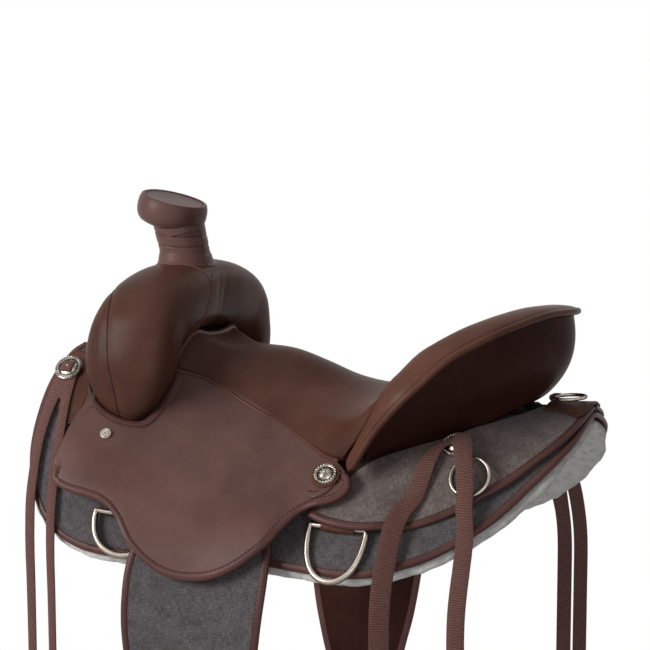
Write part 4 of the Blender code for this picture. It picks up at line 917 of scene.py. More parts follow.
seat = {"thick": 0.006, "offDrop": 0.0085, "rimSink": 0.002, "binding": 0.0044, "bindingSink": 0.0012,
        "welt": 0.0026, "weltSink": 0.0004, "lean": 0.0016, "offEar": 0.7}


def offDrop(t):
    # the crest stands a little lower on the off side
    return seat["offDrop"] * ease(-0.04, 0.20, t) * (1 - ease(0.50, 0.82, t))


def crestAt(t, drop=0.0):
    x, y, z = rowCurve(crestRows, t)
    return Vector((x, y, z + treeLift - drop))


def seatRim(t):
    point = crestAt(abs(t), offDrop(t))
    inward = Vector((-1.0, -0.9 * point.y / 0.16, 0)).normalized()
    return point + inward * (0.0035 + 0.0065 * ease(0.15, 0.65, abs(t))) - Vector((0, 0, seat["rimSink"]))


def seatPoint(u, t):
    sx, sv = rowCurve(seamRows, u)
    edge = backPoint(sx, sv, barTop + 2 * clear + seat["thick"])
    mx, mz = rowCurve(middleRows, u)
    mid = Vector((mx, 0, mz + treeLift))
    last = ease(0.80, 1.0, u)
    edge = edge.lerp(seatRim(1.0), last)
    mid = mid.lerp(seatRim(0.0), last)
    a = abs(t)
    rim, first, end = seatRim(t), seatRim(0.0), seatRim(1.0)
    blend = ease(0.25, 1.0, u) ** 1.5
    fy = mix(a, rim.y / end.y, blend)
    fx = mix(a * a, (first.x - rim.x) / (first.x - end.x), blend)
    fz = mix(a ** 2.1, (first.z - rim.z) / (first.z - end.z), blend)
    y = edge.y * fy
    return Vector((mix(mid.x, edge.x, fx), y if t >= 0 else -y, mix(mid.z, edge.z, fz)))


earRows = [(0.0, 0.0), (0.27, 0.0040), (0.45, 0.0125), (0.58, 0.0180), (0.70, 0.0184), (0.774, 0.0165),
           (0.903, 0.0110), (0.965, 0.0062), (1.0, 0.0)]


def earPoint(u, t):
    # the seat's front corners stand up against the fork
    share = 1 - ease(-0.02, 0.17, u)
    lift = rowCurve(earRows, abs(t))[0] * share * (1.0 if t < 0 else seat["offEar"])
    return seatPoint(u, t) + Vector((-seat["lean"] * share, 0, lift))


bm = mappedGrid(84, 72, lambda u, v: earPoint(u, -1 + 2 * v))
faceUp(bm, lambda face: face.normal.z)
wrinkle(bm, 0.0006, 18, 11.0)
seatSkin = BVHTree.FromBMesh(bm)
# the seat takes the darker saddle colour, painted shade
seatPiece = place("seat_leather", bm, "saddle", "saddle", ["seat_cover"], 60, False)
thicken(seatPiece, seat["thick"])
front = onSkin(seatSkin, [earPoint(0.004, -0.99 + 1.98 * k / 60) for k in range(61)], -seat["bindingSink"])
place("seat_front_binding", pipeMesh(front, seat["binding"]), "binding", "saddle")

apron = {"reach": 1.3, "sink": 0.003, "underSeat": 0.005, "forkShare": 0.36, "x": -0.158, "v": 0.078}


def apronPoint(share, t):
    # dark leather from under the seat's front edge up inside the fork's arch; its darkest leather colour is
    # painted shade there
    a, side = abs(t), -1 if t < 0 else 1
    if a <= 1:
        low = earPoint(0.012, t) - Vector((0, 0, apron["underSeat"]))
        high = forkPoint(apron["forkShare"] * t, -math.pi / 2, -apron["sink"])
    else:
        low = backPoint(apron["x"], apron["v"] + (a - 1) * 0.13, -apron["sink"], side)
        high = forkPoint(side * (apron["forkShare"] + 1.2 * (a - 1)), -math.pi / 2, -apron["sink"])
    return low.lerp(high, share)


bm = mappedGrid(60, 10, lambda u, v: apronPoint(v, apron["reach"] * (-1 + 2 * u)))
# the apron's darkest leather is painted shade in the arch
place("fork_apron", bm, "dark", "saddle", (), 60)
for word, side in sides:
    welt = []
    for k in range(71):
        x, v = rowCurve(seamRows, 0.005 + 0.90 * k / 70)
        welt.append(backPoint(x, v + 0.0008, jockeyLow(x, v) + shape["jockey"] - seat["weltSink"], side))
    place("seat_welt_" + word, pipeMesh(welt, seat["welt"]), "seat", "saddle")
print("seat made")

# cantle: the roll along the crest with its piping, and the padded back panel
rollRows = [(-0.17, 0.291, -0.052, 0.036), (0.0, 0.305, 0.0, 0.036), (0.17, 0.291, 0.052, 0.036),
            (0.34, 0.264, 0.100, 0.025), (0.48, 0.238, 0.132, 0.011), (0.58, 0.213, 0.154, -0.006),
            (0.66, 0.190, 0.168, -0.030), (0.74, 0.168, 0.175, -0.052), (0.86, 0.134, 0.169, -0.090),
            (1.0, 0.102, 0.156, -0.135)]
baseRows = [(-0.17, 0.257, -0.032), (0.0, 0.270, 0.0), (0.17, 0.257, 0.032), (0.34, 0.232, 0.063),
            (0.48, 0.202, 0.084), (0.58, 0.178, 0.097), (0.66, 0.158, 0.106), (0.74, 0.140, 0.112),
            (0.86, 0.116, 0.124), (1.0, 0.098, 0.134)]
cantle = {"rollHalf": 0.0070, "rollTaper": 0.35, "rollFlat": 0.85, "rollOver": 0.002, "piping": 0.0038,
          "panelReach": 0.93, "skin": 0.0035, "puff": 0.0125, "middlePuff": 0.0045, "seam": 0.0005}


def cantleRow(s):
    t, drop = abs(s), offDrop(s)
    crest = crestAt(t, drop)
    x, y, z = rowCurve(rollRows, t)
    roll = Vector((x, y, z + treeLift - drop))
    bx, by = rowCurve(baseRows, t)
    foot = Vector((bx, by, backHeight(bx, by, barTop + 3 * clear)))
    along = crestAt(min(1.0, t + 0.03)) - crestAt(max(-0.03, t - 0.03))
    return crest, roll, foot, (roll - crest).cross(along).normalized()


def rollPoint(s, turn):
    crest, roll, foot, normal = cantleRow(s)
    across = (roll - crest).normalized()
    halfWide = (roll - crest).length / 2 + cantle["rollOver"]
    halfTall = cantle["rollHalf"] * (1 - cantle["rollTaper"] * abs(s))
    lift = math.sin(turn) * (cantle["rollFlat"] if math.sin(turn) > 0 else 1.0)
    point = (crest + roll) / 2 + across * halfWide * math.cos(turn) + normal * halfTall * lift
    return Vector((point.x, -point.y if s < 0 else point.y, point.z))


def panelPoint(s, part):
    # the puffed panel, part 0 under the roll and 1 at the saddle's back, flat again near its lower corners
    crest, roll, foot, normal = cantleRow(s)
    inner = Vector((-1.0, -0.75 * crest.y / 0.16, 0)).normalized()
    top = roll - (roll - crest).normalized() * 0.004 - normal * (cantle["rollHalf"] - 0.0025)
    low = foot - inner * 0.001
    puff = cantle["puff"] + cantle["middlePuff"] * (1 - ease(0.25, 0.60, abs(s)))
    puff *= math.sin(math.pi * part ** 1.15) ** 0.8
    puff *= 1 - 0.95 * ease(0.62, 0.98, part) * ease(0.30, 0.48, abs(s))
    point = top.lerp(low, part) - inner * puff * min(1.0, (top - low).length / 0.07) + Vector((0, 0, 0.0006))
    return Vector((point.x, -point.y if s < 0 else point.y, point.z))


bm = mappedGrid(120, 32, lambda u, v: rollPoint(-1 + 2 * u, 2 * math.pi * v))
bmesh.ops.remove_doubles(bm, verts=bm.verts, dist=0.00005)
bmesh.ops.holes_fill(bm, edges=[e for e in bm.edges if e.is_boundary], sides=0)
wrinkle(bm, 0.0005, 30, 5.0)
rollSkin = BVHTree.FromBMesh(bm)
place("cantle_roll_leather", bm, "seat", "saddle", ["cantle_roll"], 60)
piping = [rollPoint(-0.985 + 1.97 * k / 120, math.radians(-14)) for k in range(121)]
place("cantle_piping", pipeMesh(piping, cantle["piping"], sides=14), "seat", "saddle")
line = [rollPoint(-0.98 + 1.96 * k / 120, math.radians(38)) for k in range(121)]
place("roll_seam", pipeMesh(onSkin(rollSkin, line, -0.0003), cantle["seam"]), "thread", "saddle")
bm = mappedGrid(110, 26, lambda u, v: panelPoint(cantle["panelReach"] * (-1 + 2 * u), v))
faceUp(bm, lambda face: face.normal.x)
wrinkle(bm, 0.0010, 16, 9.0)
panel = place("cantle_panel", bm, "dark", "saddle", ["cantle_back"], 60, False)
thicken(panel, cantle["skin"])
print("cantle made")

# seat jockeys
jockeySeam = []
for u in (0.90, 0.80, 0.68, 0.56, 0.44, 0.32, 0.20, 0.09):
    x, v = rowCurve(seamRows, u)
    jockeySeam.append((x, v + 0.0012 + 0.0018 * ease(0.6, 0.85, u)))
jockeyOutline = smoothOutline(
    [(-0.247, 0.139, 0), (-0.232, 0.172), (-0.236, 0.212), (-0.2415, 0.262), (-0.237, 0.275),
     (-0.214, 0.276), (-0.176, 0.267), (-0.154, 0.271), (-0.129, 0.289), (-0.089, 0.296),
     (-0.046, 0.288), (-0.005, 0.272), (0.030, 0.243), (0.047, 0.214), (0.061, 0.198), (0.092, 0.187),
     (0.106, 0.173), (0.104, 0.158), (0.094, 0.150, 0)] + jockeySeam
    + [(-0.1545, 0.0805, 0), (-0.152, 0.105), (-0.154, 0.139), (-0.165, 0.162), (-0.196, 0.173),
       (-0.228, 0.164)])
seamSpots = [rowCurve(seamRows, k / 40) for k in range(41)]


def offSeam(x, v):
    # 1 away from the seat's seam, 0 along it, and 0 along the front edge
    if x < -0.150 or x > 0.094:
        return 1 - ease(-0.220, -0.226, x) * ease(0.150, 0.160, v) * (1 - ease(0.252, 0.262, v))
    return ease(0.010, 0.014, min(abs(v - sv) + 0.4 * abs(x - sx) for sx, sv in seamSpots))


def jockeyHigh(x, v):
    soft = 0.0008 * noise.noise(Vector((x * 14, v * 14, 2.0)))
    return jockeyLow(x, v) + shape["jockey"] + soft


for word, side in sides:
    bm, loops = laySheet(jockeyOutline, bindRings, 0.009, jockeyLow, jockeyHigh, onBack(side), 2, offSeam)
    # the jockeys' top side takes the flap colour with its painted sheen
    place("jockey_leather_" + word, bm, ["flap", "binding", "dark"], "saddle",
          ["seat_jockey_" + word], 50)
    sewRow("jockey_stitches_" + word, "saddle", loops[2], onBack(side),
           lambda x, v: jockeyHigh(x, v) + stitch["onBinding"], lambda x, v: offSeam(x, v) > 0.9)
print("jockeys made")

# skirts of woven nylon, bound in leather, with the fleece under them
skirtOutline = smoothOutline(
    [(-0.283, 0.088, 0), (-0.295, 0.108), (-0.304, 0.152), (-0.303, 0.207), (-0.298, 0.245),
     (-0.288, 0.280), (-0.269, 0.311), (-0.245, 0.328), (-0.214, 0.331), (-0.181, 0.322), (-0.143, 0.304),
     (-0.095, 0.282), (-0.045, 0.265), (0.007, 0.257), (0.062, 0.259), (0.110, 0.260), (0.144, 0.255),
     (0.176, 0.243), (0.207, 0.228), (0.242, 0.203), (0.275, 0.170), (0.304, 0.124), (0.321, 0.090),
     (0.331, 0.055), (0.334, 0.0015, 0), (0.225, 0.0015, 0), (0.170, 0.024), (0.000, 0.030),
     (-0.070, 0.044), (-0.150, 0.084), (-0.230, 0.093)])
wool = {"reach": 0.0065, "ragged": 0.0022, "lump": 0.0022, "spine": 0.0065,
        "top": -shape["skirt"] - 2 * clear, "rings": [(0, -0.0045, 0), (0.003, -0.0018, 0), (0.004, 0.0, 0)]}


def grownOutline(outline):
    # pushed out along its own edge, except along the spine
    hand = handOf(outline)
    out = []
    for i, (x, v) in enumerate(outline):
        a, b = Vector(outline[i - 1]), Vector(outline[(i + 1) % len(outline)])
        way = (b - a).normalized() * hand
        push = wool["reach"] + wool["ragged"] * noise.noise(Vector((x * 90, v * 90, 0.5)))
        push *= ease(0.080, 0.120, v)
        push *= 1 - ease(-0.262, -0.290, x) * (1 - ease(0.10, 0.2, v))
        out.append((x + way.y * push, v - way.x * push))
    return out


fleeceOutline = [(x, max(v, wool["spine"])) for x, v in grownOutline(skirtOutline)]


def woolLump(x, v, seed):
    coarse = noise.noise(Vector((x * 70, v * 70, seed)))
    return wool["lump"] * (coarse + 0.6 * noise.noise(Vector((x * 190, v * 190, seed + 3))))


for word, side in sides:
    bm, loops = laySheet(skirtOutline, bindRings, 0.010, lambda x, v: -shape["skirt"], lambda x, v: 0.0,
                         onBack(side))
    place("skirt_cloth_" + word, bm, ["cloth", "binding"], "saddle", ["skirt_" + word], 50)
    sewRow("skirt_stitches_" + word, "saddle", loops[2], onBack(side), lambda x, v: stitch["onBinding"],
           lambda x, v: v > 0.02)
    bm, loops = laySheet(fleeceOutline, wool["rings"], 0.0055,
                         lambda x, v: wool["top"] - shape["fleece"] + woolLump(x, v, 1.0),
                         lambda x, v: wool["top"] - 0.0010 + 0.3 * woolLump(x, v, 6.0), onBack(side))
    fleece = place("fleece_pile_" + word, bm, "wool", "saddle", ["fleece_" + word], 180)
    softened(fleece, 1)
print("skirts and fleece made")

# rear housing and the strip along the spine
housingInner = []
for t in (0.12, 0.26, 0.40, 0.54, 0.68, 0.82, 0.93):
    bx, by = rowCurve(baseRows, t)
    out = Vector((1.0, 0.75 * rowCurve(crestRows, t)[1] / 0.16)).normalized() * 0.0030
    x, y = bx + out.x, by + out.y
    housingInner.append((x, findArc(lambda v: backPoint(x, v, barTop).y < y)))
housingOutline = smoothOutline(
    [(0.062, 0.201, 0), (0.088, 0.208), (0.124, 0.210), (0.168, 0.202), (0.210, 0.184), (0.250, 0.158),
     (0.277, 0.134), (0.301, 0.102), (0.317, 0.077), (0.329, 0.045), (0.334, 0.0015, 0),
     (0.2745, 0.0015, 0)] + housingInner + [(0.090, 0.152, 0), (0.074, 0.172), (0.064, 0.190)])
strip = {"thick": 0.003, "rise": shape["housing"] + 6 * clear, "outline": smoothOutline(
    [(0.279, -0.018, 0), (0.279, 0.018, 0), (0.292, 0.018), (0.308, 0.024), (0.322, 0.034, 0),
     (0.329, 0.028, 0), (0.3325, 0.010), (0.3325, -0.010), (0.329, -0.028, 0), (0.322, -0.034, 0),
     (0.308, -0.024), (0.292, -0.018)])}


def housingTop(x, v):
    return housingLow(x, v) + shape["housing"]


def boundEdge(x, v):
    # 1 along the outer and lower edges, 0 along the cantle and the spine
    return max(ease(0.150, 0.175, v), ease(0.235, 0.250, x - 0.35 * max(0.0, 0.14 - v)))


def stripTop(x, v):
    return housingLow(x, v) + strip["rise"] + strip["thick"]


for word, side in sides:
    bm, loops = laySheet(housingOutline, bindRings, 0.009, housingLow, housingTop, onBack(side),
                         mask=boundEdge)
    # the housing takes the lighter nylon, painted light
    place("housing_cloth_" + word, bm, ["litCloth", "binding"], "saddle", ["rear_housing_" + word], 50)
    sewRow("housing_stitches_" + word, "saddle", loops[2], onBack(side),
           lambda x, v: housingTop(x, v) + stitch["onBinding"],
           lambda x, v: boundEdge(x, v) > 0.95 and v > 0.01)
bm, loops = laySheet(strip["outline"], rawRings, 0.009, lambda x, v: housingLow(x, v) + strip["rise"],
                     stripTop, onBack(1))
# the strip takes the darker saddle colour, painted shade
place("strip_leather", bm, "saddle", "saddle", ["centre_strip"], 50)
sewRow("strip_stitches", "saddle", loops[1], onBack(1), stripTop)
print("housing made")

# fenders of woven nylon lined with leather, with their stirrup leathers, buckles, stirrups and bolts
fenderOutline = smoothOutline(
    [(-0.096, -0.168, 0), (-0.128, -0.205), (-0.138, -0.245), (-0.139, -0.285), (-0.136, -0.335),
     (-0.128, -0.400), (-0.116, -0.455), (-0.100, -0.515), (-0.091, -0.570, 0), (-0.019, -0.570, 0),
     (-0.010, -0.515), (0.004, -0.455), (0.016, -0.410), (0.027, -0.350), (0.032, -0.295), (0.032, -0.245),
     (0.023, -0.207), (-0.016, -0.176, 0)])
fenderOutline = [(x, z + treeLift) for x, z in fenderOutline]
strap = {"thick": 0.0022, "width": 0.064, "lift": hanger["lift"] - 5 * clear - 0.0011, "drop": 0.640,
         "pivotV": 0.125, "lap": 0.030}
bolt = {"radius": 0.004, "slack": 0.0002, "y": 0.23859, "past": 0.0142,
        "head": [(0, 0.0040), (0.0030, 0.0039), (0.0055, 0.0028), (0.0070, 0.0010), (0.0071, 0)]}
buckle = {"drop": 0.345, "half": 0.022, "thick": 0.0046, "halfWidth": 0.026, "sink": 0.0025, "round": 0.0008,
          "barX": 0.0215, "barHalf": 0.018, "barRadius": 0.0017, "barSink": 0.0027, "postDrop": 0.010,
          "postSink": 0.0023, "post": [(0, 0.0022), (0.0022, 0.0020), (0.0034, 0.0012), (0.0036, 0), (0, 0)]}
tread = {"drop": 0.795, "halfLength": 0.036, "halfWidth": 0.021, "ribs": 9, "rise": 0.0012, "thick": 0.0015,
         "lift": 0.0005}
boltZ = treeLift - strap["drop"]
pivotZ = backPoint(hanger["x"], strap["pivotV"], strap["lift"]).z
buckleZ = treeLift - buckle["drop"]
treadZ = treeLift - tread["drop"] + tread["lift"]


def strapBody(path, thick, half, side):
    # a flat strap on the fender's surface: path of (z, off), its width along x
    bm = bmesh.new()
    rows = []
    path = [Vector(p) for p in path]
    for i, p in enumerate(path):
        way = (path[min(i + 1, len(path) - 1)] - path[max(i - 1, 0)]).normalized()
        across = Vector((-way.y, way.x)) * thick / 2
        ring = bmesh.ops.create_circle(bm, cap_ends=False, segments=8, radius=1)["verts"]
        spots = ((-1, -0.6), (-0.94, -1), (0.94, -1), (1, -0.6), (1, 0.6), (0.94, 1), (-0.94, 1), (-1, 0.6))
        for vert, (sx, sn) in zip(ring, spots):
            here = p + across * sn
            vert.co = hangPoint(hanger["x"] + half * sx, here.x, here.y, side)
        rows.append(ring)
    for one, two in zip(rows, rows[1:]):
        edges = [e for ring in (one, two) for e in set(e for vert in ring for e in vert.link_edges)
                 if all(v in ring for v in e.verts)]
        bmesh.ops.bridge_loops(bm, edges=edges)
    bmesh.ops.holes_fill(bm, edges=[e for e in bm.edges if e.is_boundary], sides=0)
    flatUv(bm, lambda co: (co.x, co.z))
    return bm


def strapPath():
    # down inside the fender, round the stirrup's bolt and a little way up again
    inside = strap["lift"]
    outside = inside + strap["thick"] + clear
    centre = bolt["y"] - hangPoint(hanger["x"], boltZ, 0).y
    ring = bolt["radius"] + clear + strap["thick"] / 2
    path = [(pivotZ - (pivotZ - boltZ - 0.022) * k / 44, inside) for k in range(45)]
    path.append((boltZ + 0.006, centre - ring))
    for k in range(17):
        turn = math.pi + math.pi * k / 16
        path.append((boltZ + ring * math.sin(turn), centre + ring * math.cos(turn)))
    path.append((boltZ + 0.010, centre + ring * 0.9))
    return path + [(boltZ + strap["lap"] + 0.010 * k, outside) for k in range(4)]


def treadPoint(u, v, y):
    rib = abs(math.sin(tread["ribs"] * math.pi * u)) * min(1.0, 8 * min(v, 1 - v))
    return Vector((hanger["x"] + tread["halfLength"] * (2 * u - 1), y + tread["halfWidth"] * (2 * v - 1),
                   treadZ + tread["rise"] * rib))


for word, side in sides:
    lay = lambda x, z, off, s=side: hangPoint(x, z, off, s)
    body = "fender_leg_" + word
    bm, loops = laySheet(fenderOutline, bindRings, 0.010, lambda x, z: hanger["lift"],
                         lambda x, z: hanger["lift"] + hanger["thick"], lay, 2)
    place("fender_cloth_" + word, bm, ["cloth", "binding", "dark"], body, ["fender_" + word], 50)
    sewRow("fender_stitches_" + word, body, loops[2], lay,
           lambda x, z: hanger["lift"] + hanger["thick"] + stitch["onBinding"])
    place("stirrup_strap_" + word, strapBody(strapPath(), strap["thick"], strap["width"] / 2, side), "dark",
          body, ["stirrup_leather_" + word], 50)
    # the buckle: a leather sleeve round the strap, two bars and a post
    level = strap["lift"] - strap["thick"] / 2 - 3 * clear - buckle["sink"]
    path = [(buckleZ + buckle["half"] * (1 - k / 3), level) for k in range(7)]
    sleeve = strapBody(path, buckle["thick"], buckle["halfWidth"], side)
    bmesh.ops.bevel(sleeve, geom=[e for e in sleeve.edges if e.calc_face_angle(0) > 0.9],
                    offset=buckle["round"], segments=2, profile=0.5, affect="EDGES", material=-1)
    place("buckle_sleeve_" + word, sleeve, "dark", body, ["leather_buckle_" + word], 40)
    bars = bmesh.new()
    for x in (hanger["x"] - buckle["barX"], hanger["x"] + buckle["barX"]):
        line = [hangPoint(x, buckleZ + buckle["barHalf"] * (1 - k / 3), level - buckle["barSink"], side)
                for k in range(7)]
        joinMesh(bars, pipeMesh(line, buckle["barRadius"]))
    postZ = buckleZ - buckle["postDrop"]
    here = hangPoint(hanger["x"], postZ, level - buckle["postSink"], side)
    inward = (hangPoint(hanger["x"], postZ, level - 0.01, side) - here).normalized()
    joinMesh(bars, turned(buckle["post"], axesMatrix(here, Vector((1, 0, 0)), inward.cross(Vector((1, 0, 0))),
                                                     inward), 20))
    place("buckle_bars_" + word, bars, "silver", body)
    # the stirrup, its bolt and its tread
    body = "stirrup_set_" + word
    stirrup = place("stirrup_frame_" + word, refined("stirrup_" + word), "dark", body,
                    ["stirrup_" + word], 40)
    softened(rounded(stirrup, 0.0012), 1)
    at = Vector((hanger["x"], side * bolt["y"], boltZ))
    reach = strap["width"] / 2 + bolt["past"]
    head = bolt["head"] + [(bolt["radius"] - bolt["slack"], 0)]
    profile = [(r, -reach - h) for r, h in head] + [(r, reach + h) for r, h in reversed(head)]
    bm = turned(profile, axesMatrix(at, Vector((0, 1, 0)), Vector((0, 0, 1)), Vector((1, 0, 0))), 28)
    place("bolt_" + word, bm, "steel", body, ["stirrup_bolt_" + word], 35)
    pad = mappedGrid(48, 26, lambda u, v: treadPoint(u, v, at.y))
    faceUp(pad, lambda face: face.normal.z)
    thicken(place("tread_pad_" + word, pad, "dark", body, (), 40, False), tread["thick"])
print("fenders and stirrups made")

# rigging loops, dees, rings and their keepers; a dee is (x, v, lift, half width, drop)
dees = {"front": (-0.155, 0.262, 0.0062, 0.037, 0.047), "rear": (0.098, 0.206, 0.0062, 0.034, 0.062)}
deeWire = 0.0037


def deePath(x, v, lift, half, drop, side):
    here, along, down, out = surfaceAxes(x, v, lift, side)
    down = (backPoint(x, v + drop, lift, side) - here).normalized()
    path = [here + along * half * k / 8 for k in range(-8, 9)]
    for k in range(1, 40):
        turn = math.pi * k / 40
        path.append(here + along * half * math.cos(turn) + down * drop * math.sin(turn) ** 0.75)
    return path


def keeperLeather(node, key, width):
    # the solid of a loop or keeper, its edges rounded by width
    rounded(place(node + "_leather", refined(node), key, "saddle", [node], 40), width)


def ringWire(node):
    softened(place(node + "_wire", refined(node, 0.0002), "steel", node, [node], 180), 2)


for word, side in sides:
    for end, sizes in dees.items():
        node = end + "_dee_" + word
        wire = pipeMesh(deePath(*sizes, side), deeWire, True, 16)
        place(node + "_wire", wire, "steel", node, [node])
        keeperLeather(end + "_rigging_" + word, "seat", 0.0005)
    ringWire("side_ring_" + word)
    keeperLeather("ring_keeper_" + word, "binding", 0.0004)
ringWire("crupper_ring")
keeperLeather("crupper_keeper", "binding", 0.0004)
print("rigging and rings made")

# tabs, conchos, rosettes and saddle screws; a concho is (radius, rise, beads)
tab = {"thick": 0.003, "outline": smoothOutline([(-0.291, 0.112), (-0.260, 0.108), (-0.246, 0.150),
                                                 (-0.246, 0.186), (-0.256, 0.203), (-0.270, 0.201),
                                                 (-0.284, 0.165)], 6)}
rosette = {"sink": 0.0004, "tabRise": 0.0018, "spot": (0.0755, 0.1585), "radius": 0.0158, "scallop": 0.0010,
           "thick": 0.0020, "lift": 0.0016, "tab": smoothOutline(
               [(0.074, 0.1430), (0.0865, 0.1480), (0.0900, 0.1590), (0.0875, 0.1710), (0.0810, 0.1795),
                (0.0690, 0.1850), (0.0590, 0.1820), (0.0565, 0.1720), (0.0595, 0.1600), (0.0630, 0.1490)], 6)}
conchos = {"front": (0.0165, 0.0036, 30), "rosette": (0.0130, 0.0056, 22), "rear": (0.0168, 0.0066, 30)}
conchoSpots = {"front": (-0.281, 0.136), "rear": (0.2085, 0.101)}
screw = {"spot": (-0.1915, 0.1985), "profile": [
    (0, 0.0012), (0.0010, 0.0012), (0.0014, 0.0026), (0.0030, 0.0026), (0.0036, 0.0018), (0.0046, 0.0016),
    (0.0052, 0.0022), (0.0062, 0.0020), (0.0068, 0.0008), (0.0068, -0.0006), (0, -0.0006)]}
tabTop = 2 * clear + tab["thick"]


def surfaceMatrix(x, v, lift, side):
    return axesMatrix(*surfaceAxes(x, v, lift, side))


def conchoMesh(matrix, radius, rise, beads, slots=False):
    # silver disc with a beaded edge, a dark ring and a petalled dome; rows are shares of radius and rise
    dome = [(0, 1), (0.20, 0.97), (0.44, 0.80), (0.58, 0.52), (0.64, 0.34)]
    groove = [(0.64, 0.34), (0.70, 0.26), (0.76, 0.34)]
    rim = [(0.76, 0.34), (0.84, 0.42), (0.94, 0.34), (1, 0.14), (1, 0), (0, 0)]
    bm = bmesh.new()
    for rows, index in ((dome, 0), (groove, 1), (rim, 0)):
        joinMesh(bm, turned([(radius * r, rise * h) for r, h in rows], matrix, 40), index)
    bmesh.ops.remove_doubles(bm, verts=bm.verts, dist=0.00002)
    silver = bmesh.new()
    size = math.pi * 0.90 * radius / beads * 0.94
    for k in range(beads):
        turn = 2 * math.pi * k / beads
        spot = (0.90 * radius * math.cos(turn), 0.90 * radius * math.sin(turn), rise * 0.40)
        bead(silver, matrix @ Matrix.Translation(spot), (size, size, size), (10, 7))
    for k in range(8):
        turn = matrix @ Matrix.Rotation(2 * math.pi * k / 8, 4, "Z")
        bead(silver, turn @ Matrix.Translation((0.34 * radius, 0, rise * 0.80)),
             (0.17 * radius, 0.075 * radius, 0.18 * rise), (10, 7))
    size = 0.13 * radius
    bead(silver, matrix @ Matrix.Translation((0, 0, rise * 0.96)), (size, size, size), (14, 8))
    joinMesh(bm, silver)
    # the lace slots are dark beads on the dome: painted shade in the openings
    if slots:
        for sy in (-1, 1):
            slot = bmesh.new()
            bead(slot, matrix @ Matrix.Translation((0, sy * radius * 0.40, rise * 0.86)),
                 (radius * 0.46, radius * 0.09, rise * 0.16), (16, 8))
            joinMesh(bm, slot, 1)
    return bm


def laceMesh(matrix, radius, rise):
    # the string's turn over the concho, from slot to slot
    bm = bmesh.new()
    steps = 16
    half, low = radius * 0.46, rise * 0.55
    rows = []
    for k in range(steps + 1):
        turn = math.pi * (k / steps - 0.5)
        y, z = half * math.sin(turn), low + (low + 0.0012) * math.cos(turn) ** 0.7
        rows.append([bm.verts.new(matrix @ Vector((half * across, y, z))) for across in (-1, -0.4, 0.4, 1)])
    for one, two in zip(rows, rows[1:]):
        for i in range(3):
            bm.faces.new((one[i], one[i + 1], two[i + 1], two[i]))
    back = matrix.inverted()
    flatUv(bm, lambda co: (back @ co).xy)
    return bm


# a slit cut in the leather, drawn as a thin dark cord: painted shade in the cut
def flatSlit(name, x, v, half, lift, side, bend=0.0):
    line = [backPoint(x + half * k / 8, v + bend * (1 - (k / 8) ** 2), lift(x + half * k / 8, v), side)
            for k in range(-8, 9)]
    place(name, pipeMesh(line, 0.0008), "enamel", "saddle")


def rosetteMesh(matrix):
    bm = bmesh.new()
    for vert in bmesh.ops.create_circle(bm, cap_ends=True, segments=96, radius=1)["verts"]:
        turn = math.atan2(vert.co.y, vert.co.x)
        vert.co *= rosette["radius"] + rosette["scallop"] * abs(math.sin(8 * turn))
    made = bmesh.ops.extrude_face_region(bm, geom=bm.faces[:], use_keep_orig=True)["geom"]
    bmesh.ops.translate(bm, vec=(0, 0, rosette["thick"]),
                        verts=[e for e in made if isinstance(e, bmesh.types.BMVert)])
    bmesh.ops.recalc_face_normals(bm, faces=bm.faces)
    bmesh.ops.transform(bm, matrix=matrix, verts=bm.verts)
    return bm


def rosetteTop(x, v):
    return jockeyHigh(x, v) + rosette["tabRise"]


for word, side in sides:
    bm, loops = laySheet(tab["outline"], rawRings, 0.008, lambda x, v: 2 * clear, lambda x, v: tabTop,
                         onBack(side))
    place("front_tab_leather_" + word, bm, "seat", "saddle", ["front_tab_" + word], 50)
    sewRow("front_tab_stitches_" + word, "saddle", loops[1], onBack(side), lambda x, v: tabTop)
    flatSlit("front_tab_slit_" + word, -0.258, 0.190, 0.008, lambda x, v: tabTop, side)
    matrix = surfaceMatrix(*conchoSpots["front"], tabTop + 0.0044, side)
    body = "front_string_" + word
    place("front_concho_silver_" + word, conchoMesh(matrix, *conchos["front"], True), ["silver", "enamel"],
          body, ["front_concho_" + word], 40)
    lace = laceMesh(matrix, *conchos["front"][:2])
    thicken(place("front_lace_" + word, lace, "webbing", body, (), 60, False), 0.0012)
    # rosette on its slit tab
    bm, loops = laySheet(rosette["tab"], rawRings, 0.006, lambda x, v: jockeyHigh(x, v) - rosette["sink"],
                         rosetteTop, onBack(side))
    # the rosette tab takes the flap colour with its painted sheen
    place("rosette_tab_" + word, bm, "flap", "saddle", (), 50)
    base = jockeyLow(0.074, 0.150) + shape["jockey"] + clear + rosette["lift"]
    matrix = surfaceMatrix(*rosette["spot"], base, side)
    leather = place("rosette_leather_" + word, rosetteMesh(matrix), "seat", "saddle",
                    ["rosette_" + word], 50)
    rounded(leather, 0.0005)
    matrix = matrix @ Matrix.Translation((0, 0, rosette["thick"]))
    place("rosette_silver_" + word, conchoMesh(matrix, *conchos["rosette"]), ["silver", "enamel"], "saddle",
          ["rosette_concho_" + word], 40)
    flatSlit("rosette_slit_" + word, 0.0665, 0.1765, 0.0065, rosetteTop, side, 0.0015)
    # saddle screw under the swell, and the concho behind the cantle
    matrix = surfaceMatrix(*screw["spot"], jockeyHigh(*screw["spot"]), side)
    place("saddle_screw_" + word, turned(screw["profile"], matrix, 36), "silver", "saddle", (), 40)
    matrix = surfaceMatrix(*conchoSpots["rear"], housingTop(*conchoSpots["rear"]) + 0.0009, side)
    place("rear_concho_silver_" + word, conchoMesh(matrix, *conchos["rear"], True), ["silver", "enamel"],
          "saddle", ["rear_concho_" + word], 40)
print("conchos made")

